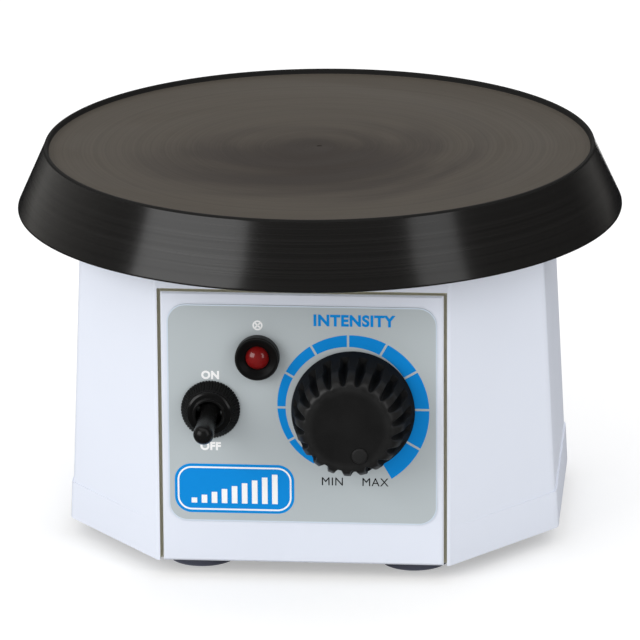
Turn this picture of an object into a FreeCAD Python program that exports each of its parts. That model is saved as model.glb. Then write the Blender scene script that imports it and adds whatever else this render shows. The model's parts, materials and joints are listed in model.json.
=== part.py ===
"""Bench vibrator with a round rubber table on an eight-sided housing, in millimetres.

The origin is on the floor, midway between the four feet. +Z is up, -Y is the front with the controls.
"""
import FreeCAD, Part
import math
import os
from FreeCAD import Placement, Rotation, Vector

# Round table: rubber cover over a steel plate
table_height = 104.5
rim_radius = 74.9
skirt_flare = 7.8
skirt_height = 17.8
skirt_wall = 3.5
skirt_edge_bevel = 0.6
rim_lip_width = 1.3
rim_lip_height = 1.5
rim_lip_slope = 0.4
rim_bevel = 0.35
cover_thickness = 4.0
plate_inset = 4.9
table_plate_thickness = 3.0
grip_lip_reach = 4.0
grip_lip_height = 3.0
cover_fit = 0.1

# Housing: eight-sided moulded shell with drafted walls and a slightly proud plinth
base_half_width = 66.8
base_half_depth = 60.9
front_half_width = 39.2
side_half_length = 28.8
side_draft = 2.78
front_draft = 2.15
housing_wall = 3.0
deck_thickness = 3.0
deck_gap = 1.7
deck_edge_bevel = 0.8
plinth_height = 10.5
plinth_step = 0.47
front_corner_round = 1.2
side_corner_round = 4.0
collar_radius = 58.0
collar_wall = 2.5
collar_clearance = 2.0
deck_clearance = 2.0
boss_radius = 4.6
boss_height = 22.0
boss_wall_overlap = 0.6

# Front panel, let into the housing front, and the label on it
panel_thickness = 2.5
panel_gap = 0.9
panel_side_margin = 0.7
panel_header = 5.0
panel_edge_bevel = 0.5
ledge_width = 4.2
ledge_depth = 3.0
ledge_floor_clearance = 0.5
ledge_screw_rise = 20.0
panel_screw_bite = 1.6
label_half_width = 35.9
label_bottom = 11.4
label_height = 60.0
label_corner_radius = 5.0
label_thickness = 0.3

# Feet and base plate
foot_height = 4.5
foot_radius = 8.5
foot_taper = 0.2
foot_edge_bevel = 0.3
foot_x = 28.7
foot_end_inset = 17.0
foot_screw_recess = 0.8
base_thickness = 2.0
base_clearance = 0.3

# Screws and running fits
screw_radius = 1.5
screw_head_radius = 3.0
screw_head_height = 1.6
screw_fit = 0.05
base_screw_length = 14.0
nut_thickness = 2.4
nut_flat_radius = 2.75
shaft_fit = 0.05
level_tolerance = 1e-6

# Electromagnet: E-shaped core standing on the base plate, coil on its centre leg
centre_leg = 20.0
outer_leg = 10.0
core_window = 10.0
core_leg_height = 30.0
core_back = 12.0
core_depth = 30.0
bobbin_fit = 0.3
bobbin_wall = 1.2
bobbin_top_gap = 1.0
winding_clearance = 1.0
bobbin_lip = 0.4
winding_corner_round = 5.0
bracket_thickness = 2.0
bracket_height = 10.0
bracket_foot = 12.0
bracket_bolt_rise = 5.5
bracket_screw_inset = 4.0

# Armature, spring carrier and leaf springs
air_gap = 1.6
armature_thickness = 10.0
armature_screw_inset = 6.0
armature_screw_grip = 6.0
carrier_thickness = 4.0
arm_width = 20.0
spring_hub_gap = 2.5
spring_width = 12.0
spring_thickness = 1.2
spring_end_margin = 5.0
spring_corner_round = 3.0
clamp_thickness = 3.0
clamp_screw_inset = 4.0
clamp_corner_round = 1.5
post_x = 48.0
post_radius = 5.0
post_screw_depth = 10.0

# Drive hub between the carrier and the table plate
hub_radius = 10.5
hub_flange_thickness = 5.0
hub_screw_clearance = 0.9
hub_flange_margin = 0.6
countersink_depth = 1.5

# Control knob and potentiometer
knob_x = 13.65
knob_rise = 43.1
knob_flange_radius = 16.3
knob_flange_gap = 1.5
knob_flange_rim = 1.2
knob_flange_flare = 3.3
knob_grip_radius = 15.6
knob_grip_taper = 0.2
knob_height = 18.0
knob_face_radius = 10.7
knob_shoulder = 5.0
knob_shoulder_steps = 3
knob_flutes = 18
flute_phase = -2.0
flute_width = 2.7
flute_flank_slope = 30.0
flute_root_depth = 0.7
flute_front_depth = 2.2
knob_hollow_radius = 9.0
knob_hollow_depth = 7.0
pointer_radius = 2.05
pointer_height = 0.4
pointer_offset = 8.0
pointer_angle = -68.0
set_screw_radius = 1.5
set_screw_rise = 11.0
set_screw_inset = 2.5
pot_shaft_radius = 3.0
pot_shaft_reach = 14.5
pot_shaft_depth = 4.0
pot_bushing_radius = 4.7
pot_bushing_reach = 6.0
pot_case_radius = 11.0
pot_case_depth = 10.5
pot_nut_flat_radius = 6.35
pot_nut_thickness = 2.2
panel_hole_fit = 0.1

# Control board carried on the back of the potentiometer
board_half_width = 17.5
board_half_height = 16.0
board_thickness = 1.6
triac_width = 10.0
triac_height = 15.0
triac_depth = 4.5
capacitor_width = 16.0
capacitor_height = 9.0
capacitor_depth = 13.0
capacitor_round = 1.0
component_offset = 9.0

# Toggle switch
toggle_x = -24.4
toggle_rise = 42.6
toggle_roll = -10.0
toggle_tilt = 15.0
toggle_bushing_radius = 5.9
toggle_bushing_reach = 5.0
toggle_nose_radius = 4.5
toggle_nose_height = 0.8
toggle_bore_radius = 3.4
toggle_nut_radius = 7.9
toggle_nut_thickness = 3.8
toggle_nut_bevel = 1.3
knurl_count = 48
knurl_depth = 0.35
toggle_back_nut_flat_radius = 7.1
toggle_back_nut_thickness = 2.4
toggle_case_width = 13.0
toggle_case_height = 25.0
toggle_case_depth = 16.0
toggle_case_round = 0.8
toggle_pivot_depth = 3.8
toggle_ball_radius = 2.9
toggle_pin_radius = 0.8
toggle_pin_inset = 0.4
toggle_tail_radius = 1.2
toggle_tail_length = 5.0
lever_length = 14.2
lever_root_radius = 1.9
lever_tip_radius = 2.55
lever_tip_steps = 4
terminal_width = 4.5
terminal_thickness = 0.8
terminal_length = 6.0
terminal_spacing = 8.0

# Pilot lamp
lamp_x = -11.7
lamp_rise = 57.4
lamp_flange_radius = 5.9
lamp_flange_height = 2.8
lamp_flange_round = 0.9
lamp_dish_depth = 1.0
lamp_barrel_radius = 4.2
lamp_barrel_length = 18.0
lamp_lens_radius = 3.1
lamp_lens_seat = 2.0
lamp_dome_height = 1.9
lamp_seat_step = 0.5
lamp_floor = 2.0
bulb_radius = 2.2
bulb_length = 9.0
lamp_nut_flat_radius = 5.4
lamp_nut_thickness = 2.6

# Cord grommet in the rear wall
grommet_rise = 20.0
grommet_neck_radius = 5.5
grommet_flange_radius = 7.5
grommet_flange_thickness = 1.6
grommet_bore_radius = 3.6
grommet_bevel = 0.6

# Levels along Z
base_level = foot_height
plate_top = base_level + base_thickness
core_back_top = plate_top + core_back
core_top = core_back_top + core_leg_height
armature_bottom = core_top + air_gap
armature_top = armature_bottom + armature_thickness
carrier_top = armature_top + carrier_thickness
spring_top = carrier_top + spring_thickness
table_face = table_height - rim_lip_height
cover_underside = table_face - cover_thickness
table_plate_bottom = cover_underside - table_plate_thickness
grip_lip_bottom = table_plate_bottom - grip_lip_height
skirt_bottom = table_height - skirt_height
deck_top = skirt_bottom - deck_gap
deck_underside = deck_top - deck_thickness
collar_top = grip_lip_bottom - collar_clearance

# Derived radii and half sizes
skirt_radius = rim_radius + skirt_flare
table_plate_radius = rim_radius - plate_inset
hub_screw_circle = hub_radius + screw_head_radius + hub_screw_clearance
hub_flange_radius = hub_screw_circle + screw_head_radius + hub_flange_margin
spring_y = hub_flange_radius + spring_hub_gap + spring_width / 2
deck_opening_radius = hub_flange_radius + deck_clearance
opening_half_width = front_half_width - panel_side_margin
panel_half_width = opening_half_width - panel_gap
lean = math.radians(front_draft)
opening_height = (deck_top - panel_header - base_level) / math.cos(lean)
panel_height = opening_height - panel_gap
ledge_half_width = panel_half_width - ledge_width
core_half_width = centre_leg / 2 + core_window + outer_leg
core_half_depth = core_depth / 2
spring_half_length = post_x + spring_end_margin
hole_radius = screw_radius + screw_fit
foot_y = base_half_depth - foot_end_inset
foot_recess_depth = screw_head_height + foot_screw_recess
tube_half_x = centre_leg / 2 + bobbin_fit + bobbin_wall
tube_half_y = core_half_depth + bobbin_fit + bobbin_wall
bobbin_half_x = centre_leg / 2 + core_window - winding_clearance
bobbin_half_y = core_half_depth + core_window - winding_clearance
winding_half_x = bobbin_half_x - bobbin_lip
winding_half_y = bobbin_half_y - bobbin_lip
knob_grip_low = knob_flange_gap + knob_flange_rim + knob_flange_flare
knob_shoulder_low = knob_height - knob_shoulder
board_back = -panel_thickness - pot_case_depth - board_thickness
toggle_case_front = -panel_thickness - toggle_back_nut_thickness
toggle_front = toggle_bushing_reach + toggle_nose_height
toggle_pivot = toggle_front - toggle_pivot_depth

CORNERS = {
    "front_left": (-1, -1),
    "front_right": (1, -1),
    "rear_left": (-1, 1),
    "rear_right": (1, 1),
}
ENDS = {"front": -1, "rear": 1}


def block(length_x, length_y, height, low_z, centre_x=0.0, centre_y=0.0):
    """A box centred in X and Y that stands on low_z."""
    corner = Vector(centre_x - length_x / 2, centre_y - length_y / 2, low_z)
    return Part.makeBox(length_x, length_y, height, corner)


def rod(radius, height, low_z, x=0.0, y=0.0):
    """An upright cylinder that stands on low_z."""
    return Part.makeCylinder(radius, height, Vector(x, y, low_z))


def revolved(profile):
    """A solid of revolution about Z from (radius, z) points."""
    points = [Vector(radius, 0, z) for radius, z in profile]
    wire = Part.makePolygon(points + points[:1])
    return Part.Face(wire).revolve(Vector(0, 0, 0), Vector(0, 0, 1), 360)


def prism(points, low_z, height):
    """A straight prism on a closed XY outline."""
    corners = [Vector(x, y, low_z) for x, y in points]
    return Part.Face(Part.makePolygon(corners + corners[:1])).extrude(Vector(0, 0, height))


def hexagon(flat_radius, low_z, height):
    """A hexagonal prism on the Z axis, sized by its inscribed circle."""
    corner_radius = flat_radius / math.cos(math.pi / 6)
    steps = [math.radians(60 * step) for step in range(6)]
    return prism([(corner_radius * math.cos(a), corner_radius * math.sin(a)) for a in steps], low_z, height)


def rounded_block(length_x, length_y, height, low_z, radius, centre_x=0.0, centre_y=0.0):
    """A box with its four upright edges rounded."""
    solid = block(length_x, length_y, height, low_z, centre_x, centre_y)
    return solid.makeFillet(radius, upright_edges(solid))


def upright_edges(solid):
    """The straight edges that climb from the bottom face to the top face."""
    height = solid.BoundBox.ZLength
    return [edge for edge in solid.Edges if edge.BoundBox.ZLength > height / 2]


def level_edges(solid, level):
    """The edges that lie wholly at one height."""
    def off_level(edge):
        return max(abs(edge.BoundBox.ZMin - level), abs(edge.BoundBox.ZMax - level))

    return [edge for edge in solid.Edges if off_level(edge) < level_tolerance]


def group(solids):
    """Separate solids that share one node."""
    return Part.makeCompound(list(solids))


def at(solid, x, y, z):
    """A copy of a solid moved to a point."""
    copy = solid.copy()
    copy.translate(Vector(x, y, z))
    return copy


def pan_screw(length):
    """A pan-head screw: the head's underside is at z = 0 and the shank points down."""
    return rod(screw_head_radius, screw_head_height, 0).fuse(rod(screw_radius, length, -length))


def countersunk(radius, length):
    """A rod that hangs from z = 0 and widens to a cone at its top."""
    head_radius = radius + countersink_depth
    profile = [(0, 0), (head_radius, 0), (radius, -countersink_depth), (radius, -length), (0, -length)]
    return revolved(profile)


def flat_screw(length):
    """A countersunk screw whose flat head ends at z = 0, with the shank pointing down."""
    return countersunk(screw_radius, length)


def flat_screw_hole(length):
    """The countersunk hole that a flat screw of that length goes through."""
    return countersunk(hole_radius, length)


def hexagon_nut():
    """The nut of the small screws, standing on z = 0."""
    return hexagon(nut_flat_radius, 0, nut_thickness).cut(rod(hole_radius, nut_thickness, 0))


def upside_down(solid):
    """A copy turned over about the X axis."""
    copy = solid.copy()
    copy.rotate(Vector(0, 0, 0), Vector(1, 0, 0), 180)
    return copy


def on_panel(solid, x=0.0, rise=0.0):
    """Places a solid made about Z on the leaning panel, whose front face is z = 0 with +z outward."""
    foot = Vector(x, -base_half_depth + rise * math.sin(lean), base_level + rise * math.cos(lean))
    copy = solid.copy()
    copy.Placement = Placement(foot, Rotation(Vector(1, 0, 0), 90 - front_draft)).multiply(copy.Placement)
    return copy


def on_rear(solid, x=0.0, rise=0.0):
    """As on_panel, on the rear wall."""
    copy = on_panel(solid, x, rise)
    copy.rotate(Vector(0, 0, 0), Vector(0, 0, 1), 180)
    return copy


def octagon(half_width, half_depth, slope, inset):
    """The corners of a housing section, moved inward by inset, counter-clockwise from the front right."""
    corner = math.atan(slope)
    x_side = half_width - inset
    y_front = half_depth - inset
    x_front = front_half_width - inset * math.tan(corner / 2)
    run = (x_side - front_half_width) * math.sin(corner)
    y_side = half_depth - (inset + run) / math.cos(corner)
    right = [(x_front, -y_front), (x_side, -y_side), (x_side, y_side), (x_front, y_front)]
    return right + [(-x, -y) for x, y in right]


def wall_section(level, inset, step=plinth_step):
    """The housing's section at a height; step is how far the walls stand back from the plinth."""
    rise = level - base_level
    half_width = base_half_width - step
    slope = (base_half_depth - side_half_length) / (half_width - front_half_width)
    drafted_width = half_width - rise * math.tan(math.radians(side_draft))
    drafted_depth = base_half_depth - rise * math.tan(lean)
    return octagon(drafted_width, drafted_depth, slope, inset)


def frustum(low, low_outline, high, high_outline):
    """A solid with flat sides between two outlines that have parallel edges."""
    bottom = [Vector(x, y, low) for x, y in low_outline]
    top = [Vector(x, y, high) for x, y in high_outline]
    count = len(bottom)
    rings = [bottom[::-1], top]
    rings += [[bottom[i], bottom[(i + 1) % count], top[(i + 1) % count], top[i]] for i in range(count)]
    faces = [Part.Face(Part.makePolygon(loop + loop[:1])) for loop in rings]
    return Part.makeSolid(Part.makeShell(faces))


def reach_x(edge):
    """How far an edge reaches from the middle of the housing, sideways."""
    return max(abs(edge.BoundBox.XMin), abs(edge.BoundBox.XMax))


def housing_block(low, high, step):
    """The outside form of the housing between two heights, its climbing corners rounded."""
    solid = frustum(low, wall_section(low, 0, step), high, wall_section(high, 0, step))
    limit = front_half_width + front_corner_round / 2
    sides = [edge for edge in upright_edges(solid) if reach_x(edge) > limit]
    solid = solid.makeFillet(side_corner_round, sides)
    fronts = [edge for edge in upright_edges(solid) if reach_x(edge) <= limit]
    return solid.makeFillet(front_corner_round, fronts)


def boss_place():
    """Where the front right screw boss stands, against the middle of its corner wall."""
    (x_front, y_front), (x_side, y_side) = wall_section(base_level, housing_wall)[:2]
    length = math.hypot(x_side - x_front, y_side - y_front)
    shift = (boss_radius - boss_wall_overlap) / length
    x = (x_front + x_side) / 2 - (y_side - y_front) * shift
    y = (y_front + y_side) / 2 + (x_side - x_front) * shift
    return x, y


def corner_spots(x, y):
    """The four places that mirror one point across the middle of the machine."""
    return [(side * abs(x), end * abs(y)) for side, end in CORNERS.values()]


boss_spots = corner_spots(*boss_place())
foot_spots = corner_spots(foot_x, foot_y)
post_spots = corner_spots(post_x, spring_y)
bracket_screw_y = core_half_depth + bracket_foot - bracket_screw_inset
bracket_screw_spots = corner_spots(core_half_width / 2, bracket_screw_y)
clamp_spots = corner_spots(arm_width / 2 - clamp_screw_inset, spring_y)
hub_screw_spots = corner_spots(hub_screw_circle * math.sqrt(0.5), hub_screw_circle * math.sqrt(0.5))
armature_screw_x = core_half_width - armature_screw_inset
armature_screw_spots = [(-armature_screw_x, 0), (armature_screw_x, 0)]
core_bolt_x = core_half_width - outer_leg / 2
panel_screw_x = panel_half_width - ledge_width / 2
panel_screw_spots = [
    (side * panel_screw_x, rise)
    for side in (-1, 1)
    for rise in (ledge_screw_rise, panel_height - ledge_screw_rise)
]


def holes(radius, height, low_z, spots):
    """Upright drill holes at a list of places."""
    return group(rod(radius, height, low_z, x, y) for x, y in spots)


def copies(solid, spots, level):
    """Copies of one fastener at a list of places."""
    return group(at(solid, x, y, level) for x, y in spots)


def along_y(solid):
    """A copy turned so that what pointed down points to the rear."""
    copy = solid.copy()
    copy.rotate(Vector(0, 0, 0), Vector(1, 0, 0), 90)
    return copy


def housing_shell():
    outside = housing_block(base_level, deck_top, plinth_step)
    outside = outside.makeChamfer(deck_edge_bevel, level_edges(outside, deck_top))
    outside = outside.fuse(housing_block(base_level, base_level + plinth_height, 0))
    low_outline = wall_section(base_level, housing_wall)
    high_outline = wall_section(deck_underside, housing_wall)
    shell = outside.cut(frustum(base_level, low_outline, deck_underside, high_outline))
    bosses = [rod(boss_radius, boss_height, plate_top, x, y).common(outside) for x, y in boss_spots]
    ledge_low = base_thickness + ledge_floor_clearance
    ledge_high = opening_height + housing_wall
    ledge_back = panel_thickness + ledge_depth
    ledge_middle = (ledge_low + ledge_high) / 2
    ledge = block(2 * front_half_width, ledge_high - ledge_low, ledge_depth, -ledge_back, 0, ledge_middle)
    shell = shell.fuse(bosses + [on_panel(ledge).common(outside)])
    collar_height = collar_top - deck_underside
    collar = rod(collar_radius, collar_height, deck_underside)
    shell = shell.fuse(collar.cut(rod(collar_radius - collar_wall, collar_height, deck_underside)))
    pocket_span = opening_height + housing_wall
    pocket_middle = (opening_height - housing_wall) / 2
    pocket_depth = panel_thickness + housing_wall
    pocket = block(2 * opening_half_width, pocket_span, pocket_depth, -panel_thickness, 0, pocket_middle)
    window_middle = pocket_middle - ledge_width
    window_depth = ledge_back + housing_wall
    window = block(2 * ledge_half_width, pocket_span, window_depth, -window_depth, 0, window_middle)
    screw_way = rod(hole_radius, ledge_back, -ledge_back)
    screw_ways = [on_panel(screw_way, x, rise) for x, rise in panel_screw_spots]
    grommet_way = rod(grommet_neck_radius + cover_fit, 3 * housing_wall, -2 * housing_wall)
    grommet_hole = on_rear(grommet_way, 0, grommet_rise)
    deck_opening = rod(deck_opening_radius, deck_thickness, deck_underside)
    pilots = holes(hole_radius, base_screw_length, base_level, boss_spots)
    shell = shell.cut([on_panel(pocket), on_panel(window), grommet_hole, deck_opening, pilots] + screw_ways)
    return shell.removeSplitter()


def base_plate():
    outline = wall_section(base_level, housing_wall + base_clearance)
    spots = boss_spots + foot_spots + post_spots + bracket_screw_spots
    drilled = holes(hole_radius, base_thickness, base_level, spots)
    return prism(outline, base_level, base_thickness).cut(drilled)


def screws_from_below(length, spots):
    return copies(upside_down(pan_screw(length)), spots, base_level)


def rubber_foot(x, y):
    bore = screw_radius + cover_fit
    recess = screw_head_radius + cover_fit
    profile = [
        (recess, 0),
        (foot_radius - foot_taper - foot_edge_bevel, 0),
        (foot_radius - foot_taper, foot_edge_bevel),
        (foot_radius, foot_height),
        (bore, foot_height),
        (bore, foot_recess_depth),
        (recess, foot_recess_depth),
    ]
    return at(revolved(profile), x, y, 0)


def foot_screws():
    length = foot_height - foot_recess_depth + base_thickness + nut_thickness
    return copies(upside_down(pan_screw(length)), foot_spots, foot_recess_depth)


def foot_nuts():
    return copies(hexagon_nut(), foot_spots, plate_top)


def front_panel():
    width = 2 * panel_half_width
    panel = block(width, panel_height, panel_thickness, -panel_thickness, 0, panel_height / 2)
    panel = on_panel(panel.makeChamfer(panel_edge_bevel, level_edges(panel, 0)))
    pilot = rod(hole_radius, panel_screw_bite, -panel_thickness)
    pilots = [on_panel(pilot, x, rise) for x, rise in panel_screw_spots]
    return panel.cut(pilots + control_holes())


def control_holes():
    """The three round holes through the panel and the label."""
    depth = panel_thickness + label_thickness
    places = [
        (toggle_bushing_radius, toggle_x, toggle_rise),
        (lamp_barrel_radius, lamp_x, lamp_rise),
        (pot_bushing_radius, knob_x, knob_rise),
    ]
    return [on_panel(rod(r + panel_hole_fit, depth, -panel_thickness), x, rise) for r, x, rise in places]


def panel_screws():
    screw = at(upside_down(pan_screw(ledge_depth + panel_screw_bite)), 0, 0, -panel_thickness - ledge_depth)
    return group(on_panel(screw, x, rise) for x, rise in panel_screw_spots)


def panel_label():
    middle = label_bottom + label_height / 2
    width = 2 * label_half_width
    sheet = rounded_block(width, label_height, label_thickness, 0, label_corner_radius, 0, middle)
    return on_panel(sheet).cut(control_holes())


def magnet_core():
    core = block(2 * core_half_width, core_depth, core_top - plate_top, plate_top)
    window_x = centre_leg / 2 + core_window / 2
    window = block(core_window, core_depth, core_leg_height, core_back_top)
    windows = [at(window, side * window_x, 0, 0) for side in (-1, 1)]
    return core.cut(windows + core_bolt_holes())


def core_bolt_holes():
    """The two holes that run from front to rear through the core and its brackets."""
    span = core_depth + 2 * bracket_thickness
    hole = along_y(rod(hole_radius, span, -span / 2))
    return [at(hole, side * core_bolt_x, 0, plate_top + bracket_bolt_rise) for side in (-1, 1)]


def coil_bobbin():
    height = core_top - bobbin_top_gap - core_back_top
    flanges = [
        block(2 * bobbin_half_x, 2 * bobbin_half_y, bobbin_wall, level)
        for level in (core_back_top, core_back_top + height - bobbin_wall)
    ]
    tube = block(2 * tube_half_x, 2 * tube_half_y, height, core_back_top)
    passage = block(centre_leg + 2 * bobbin_fit, core_depth + 2 * bobbin_fit, height, core_back_top)
    return tube.fuse(flanges).cut(passage).removeSplitter()


def coil_winding():
    low = core_back_top + bobbin_wall
    height = core_top - bobbin_top_gap - bobbin_wall - low
    bundle = rounded_block(2 * winding_half_x, 2 * winding_half_y, height, low, winding_corner_round)
    return bundle.cut(block(2 * tube_half_x, 2 * tube_half_y, height, low))


def core_bracket(end):
    plate_y = end * (core_half_depth + bracket_thickness / 2)
    foot_y_middle = end * (core_half_depth + bracket_foot / 2)
    plate = block(2 * core_half_width, bracket_thickness, bracket_height, plate_top, 0, plate_y)
    foot = block(2 * core_half_width, bracket_foot, bracket_thickness, plate_top, 0, foot_y_middle)
    screw_holes = holes(hole_radius, bracket_thickness, plate_top, bracket_screw_spots)
    return plate.fuse(foot).cut(core_bolt_holes() + [screw_holes]).removeSplitter()


def bracket_screws():
    level = plate_top + bracket_thickness
    return copies(pan_screw(bracket_thickness + base_thickness), bracket_screw_spots, level)


def core_bolts():
    length = core_depth + 2 * bracket_thickness + nut_thickness
    bolt = along_y(pan_screw(length))
    head_y = -core_half_depth - bracket_thickness
    return group(at(bolt, side * core_bolt_x, head_y, plate_top + bracket_bolt_rise) for side in (-1, 1))


def core_nuts():
    nut = along_y(at(hexagon_nut(), 0, 0, -nut_thickness))
    nut_y = core_half_depth + bracket_thickness
    return group(at(nut, side * core_bolt_x, nut_y, plate_top + bracket_bolt_rise) for side in (-1, 1))


def spring_post(x, y):
    post = rod(post_radius, carrier_top - plate_top, plate_top, x, y)
    lower = rod(hole_radius, post_screw_depth, plate_top, x, y)
    upper = rod(hole_radius, post_screw_depth, carrier_top - post_screw_depth, x, y)
    return post.cut([lower, upper])


def leaf_spring(end):
    length = 2 * spring_half_length
    strip = rounded_block(length, spring_width, spring_thickness, carrier_top, spring_corner_round)
    strip = at(strip, 0, end * spring_y, 0)
    return strip.cut(holes(hole_radius, spring_thickness, carrier_top, post_spots + clamp_spots))


def spring_end_screws():
    return copies(pan_screw(spring_thickness + post_screw_depth), post_spots, spring_top)


def clamp_screws():
    length = clamp_thickness + spring_thickness + carrier_thickness
    return copies(pan_screw(length), clamp_spots, spring_top + clamp_thickness)


def clamp_bar(end):
    bar = rounded_block(arm_width, spring_width, clamp_thickness, spring_top, clamp_corner_round)
    bar = at(bar, 0, end * spring_y, 0)
    return bar.cut(holes(hole_radius, clamp_thickness, spring_top, clamp_spots))


def spring_carrier():
    arm_length = 2 * spring_y + spring_width
    body = block(2 * core_half_width, 2 * hub_flange_radius, carrier_thickness, armature_top)
    body = body.fuse(block(arm_width, arm_length, carrier_thickness, armature_top)).removeSplitter()
    drilled = holes(hole_radius, carrier_thickness, armature_top, clamp_spots + hub_screw_spots)
    sunk = [at(flat_screw_hole(carrier_thickness), x, y, carrier_top) for x, y in armature_screw_spots]
    return body.cut([drilled] + sunk)


def armature():
    bar = block(2 * core_half_width, core_depth, armature_thickness, armature_bottom)
    low = armature_top - armature_screw_grip
    return bar.cut(holes(hole_radius, armature_screw_grip, low, armature_screw_spots))


def armature_screws():
    return copies(flat_screw(carrier_thickness + armature_screw_grip), armature_screw_spots, carrier_top)


def drive_hub():
    low = carrier_top
    high = table_plate_bottom
    profile = [
        (0, low),
        (hub_flange_radius, low),
        (hub_flange_radius, low + hub_flange_thickness),
        (hub_radius, low + hub_flange_thickness),
        (hub_radius, high - hub_flange_thickness),
        (hub_flange_radius, high - hub_flange_thickness),
        (hub_flange_radius, high),
        (0, high),
    ]
    lower = holes(hole_radius, hub_flange_thickness, low, hub_screw_spots)
    upper = holes(hole_radius, hub_flange_thickness, high - hub_flange_thickness, hub_screw_spots)
    return revolved(profile).cut([lower, upper])


def hub_screws():
    length = hub_flange_thickness + carrier_thickness
    return copies(pan_screw(length), hub_screw_spots, carrier_top + hub_flange_thickness)


def table_plate_screws():
    length = table_plate_thickness + hub_flange_thickness
    return copies(flat_screw(length), hub_screw_spots, cover_underside)


def table_plate():
    sunk = [at(flat_screw_hole(table_plate_thickness), x, y, cover_underside) for x, y in hub_screw_spots]
    return rod(table_plate_radius, table_plate_thickness, table_plate_bottom).cut(sunk)


def rubber_table_cover():
    groove_radius = table_plate_radius + cover_fit
    flare_at_lip = skirt_flare * (grip_lip_bottom - skirt_bottom) / skirt_height
    lip_radius = rim_radius - rim_lip_width
    profile = [
        (0, table_face),
        (lip_radius - rim_lip_slope, table_face),
        (lip_radius, table_height - rim_bevel),
        (lip_radius + rim_bevel, table_height),
        (rim_radius - rim_bevel, table_height),
        (rim_radius, table_height - rim_bevel),
        (skirt_radius, skirt_bottom + skirt_edge_bevel),
        (skirt_radius - skirt_edge_bevel, skirt_bottom),
        (skirt_radius - skirt_wall, skirt_bottom),
        (skirt_radius - flare_at_lip - skirt_wall, grip_lip_bottom),
        (groove_radius - grip_lip_reach, grip_lip_bottom),
        (groove_radius - grip_lip_reach, table_plate_bottom),
        (groove_radius, table_plate_bottom),
        (groove_radius, cover_underside),
        (0, cover_underside),
    ]
    return revolved(profile)


def control_knob():
    low = knob_flange_gap
    shoulder_radius = knob_grip_radius - knob_grip_taper
    hollow_top = low + knob_hollow_depth
    bore = pot_shaft_radius + shaft_fit
    bore_top = pot_shaft_reach + shaft_fit
    shoulder = []
    for step in range(1, knob_shoulder_steps):
        turn = math.pi / 2 * step / knob_shoulder_steps
        radius = knob_face_radius + (shoulder_radius - knob_face_radius) * math.cos(turn)
        shoulder.append((radius, knob_shoulder_low + knob_shoulder * math.sin(turn)))
    profile = [
        (knob_hollow_radius, low),
        (knob_flange_radius, low),
        (knob_flange_radius, low + knob_flange_rim),
        (knob_grip_radius, knob_grip_low),
        (shoulder_radius, knob_shoulder_low),
        *shoulder,
        (knob_face_radius, knob_height),
        (0, knob_height),
        (0, bore_top),
        (bore, bore_top),
        (bore, hollow_top),
        (knob_hollow_radius, hollow_top),
    ]
    knob = revolved(profile).cut([flute(step) for step in range(knob_flutes)])
    angle = math.radians(pointer_angle)
    pointer_x = pointer_offset * math.cos(angle)
    pointer_y = pointer_offset * math.sin(angle)
    knob = knob.fuse(rod(pointer_radius, pointer_height, knob_height, pointer_x, pointer_y))
    screw_way = set_screw_rod(set_screw_radius + screw_fit, knob_flange_radius)
    return on_knob(knob.cut(screw_way))


def flute(step):
    """One groove cutter of the grip: it leans inward so that the groove deepens towards the shoulder."""
    low_radius = knob_grip_radius - flute_root_depth
    high_radius = knob_grip_radius - knob_grip_taper - flute_front_depth
    lean_in = math.degrees(math.atan2(low_radius - high_radius, knob_shoulder_low - knob_grip_low))
    side = flute_width / 2
    flank = side * math.tan(math.radians(flute_flank_slope))
    open_end = knob_grip_radius
    outline = [(0, 0), (flank, -side), (open_end, -side), (open_end, side), (flank, side)]
    cutter = prism(outline, 0, 2 * knob_height)
    cutter.rotate(Vector(0, 0, 0), Vector(0, 1, 0), -lean_in)
    cutter.translate(Vector(low_radius, 0, knob_grip_low))
    cutter.rotate(Vector(0, 0, 0), Vector(0, 0, 1), flute_phase + step * 360 / knob_flutes)
    return cutter


def set_screw_rod(radius, outer):
    """A radial rod from the shaft outward, under the pointer."""
    length = outer - pot_shaft_radius
    axle = Part.makeCylinder(radius, length, Vector(pot_shaft_radius, 0, set_screw_rise), Vector(1, 0, 0))
    axle.rotate(Vector(0, 0, 0), Vector(0, 0, 1), pointer_angle)
    return axle


def on_knob(solid):
    return on_panel(solid, knob_x, knob_rise)


def pot_shaft():
    low = -panel_thickness - pot_shaft_depth
    return on_knob(rod(pot_shaft_radius, pot_shaft_reach - low, low))


def knob_set_screw():
    screw = set_screw_rod(set_screw_radius, knob_grip_radius - set_screw_inset)
    return on_knob(screw.cut(rod(pot_shaft_radius + shaft_fit, knob_height, 0)))


def pot_case():
    back = -panel_thickness - pot_case_depth
    case = rod(pot_case_radius, pot_case_depth, back)
    depth = pot_shaft_depth + shaft_fit
    return on_knob(case.cut(rod(pot_shaft_radius + shaft_fit, depth, -panel_thickness - depth)))


def pot_bushing():
    length = panel_thickness + pot_bushing_reach
    bushing = rod(pot_bushing_radius, length, -panel_thickness)
    return on_knob(bushing.cut(rod(pot_shaft_radius + shaft_fit, length, -panel_thickness)))


def pot_nut():
    nut = hexagon(pot_nut_flat_radius, label_thickness, pot_nut_thickness)
    return on_knob(nut.cut(rod(pot_bushing_radius + screw_fit, pot_nut_thickness, label_thickness)))


def control_board():
    board = block(2 * board_half_width, 2 * board_half_height, board_thickness, board_back)
    return on_knob(board)


def triac():
    body = block(triac_width, triac_height, triac_depth, board_back - triac_depth, -component_offset)
    return on_knob(body)


def capacitor():
    body = rounded_block(capacitor_width, capacitor_height, capacitor_depth, board_back - capacitor_depth,
                         capacitor_round, component_offset - capacitor_width / 4)
    return on_knob(body)


def on_toggle(solid):
    """Places a solid made about Z on the toggle's axis, turned with the switch."""
    copy = solid.copy()
    copy.rotate(Vector(0, 0, 0), Vector(0, 0, 1), toggle_roll)
    return on_panel(copy, toggle_x, toggle_rise)


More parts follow.
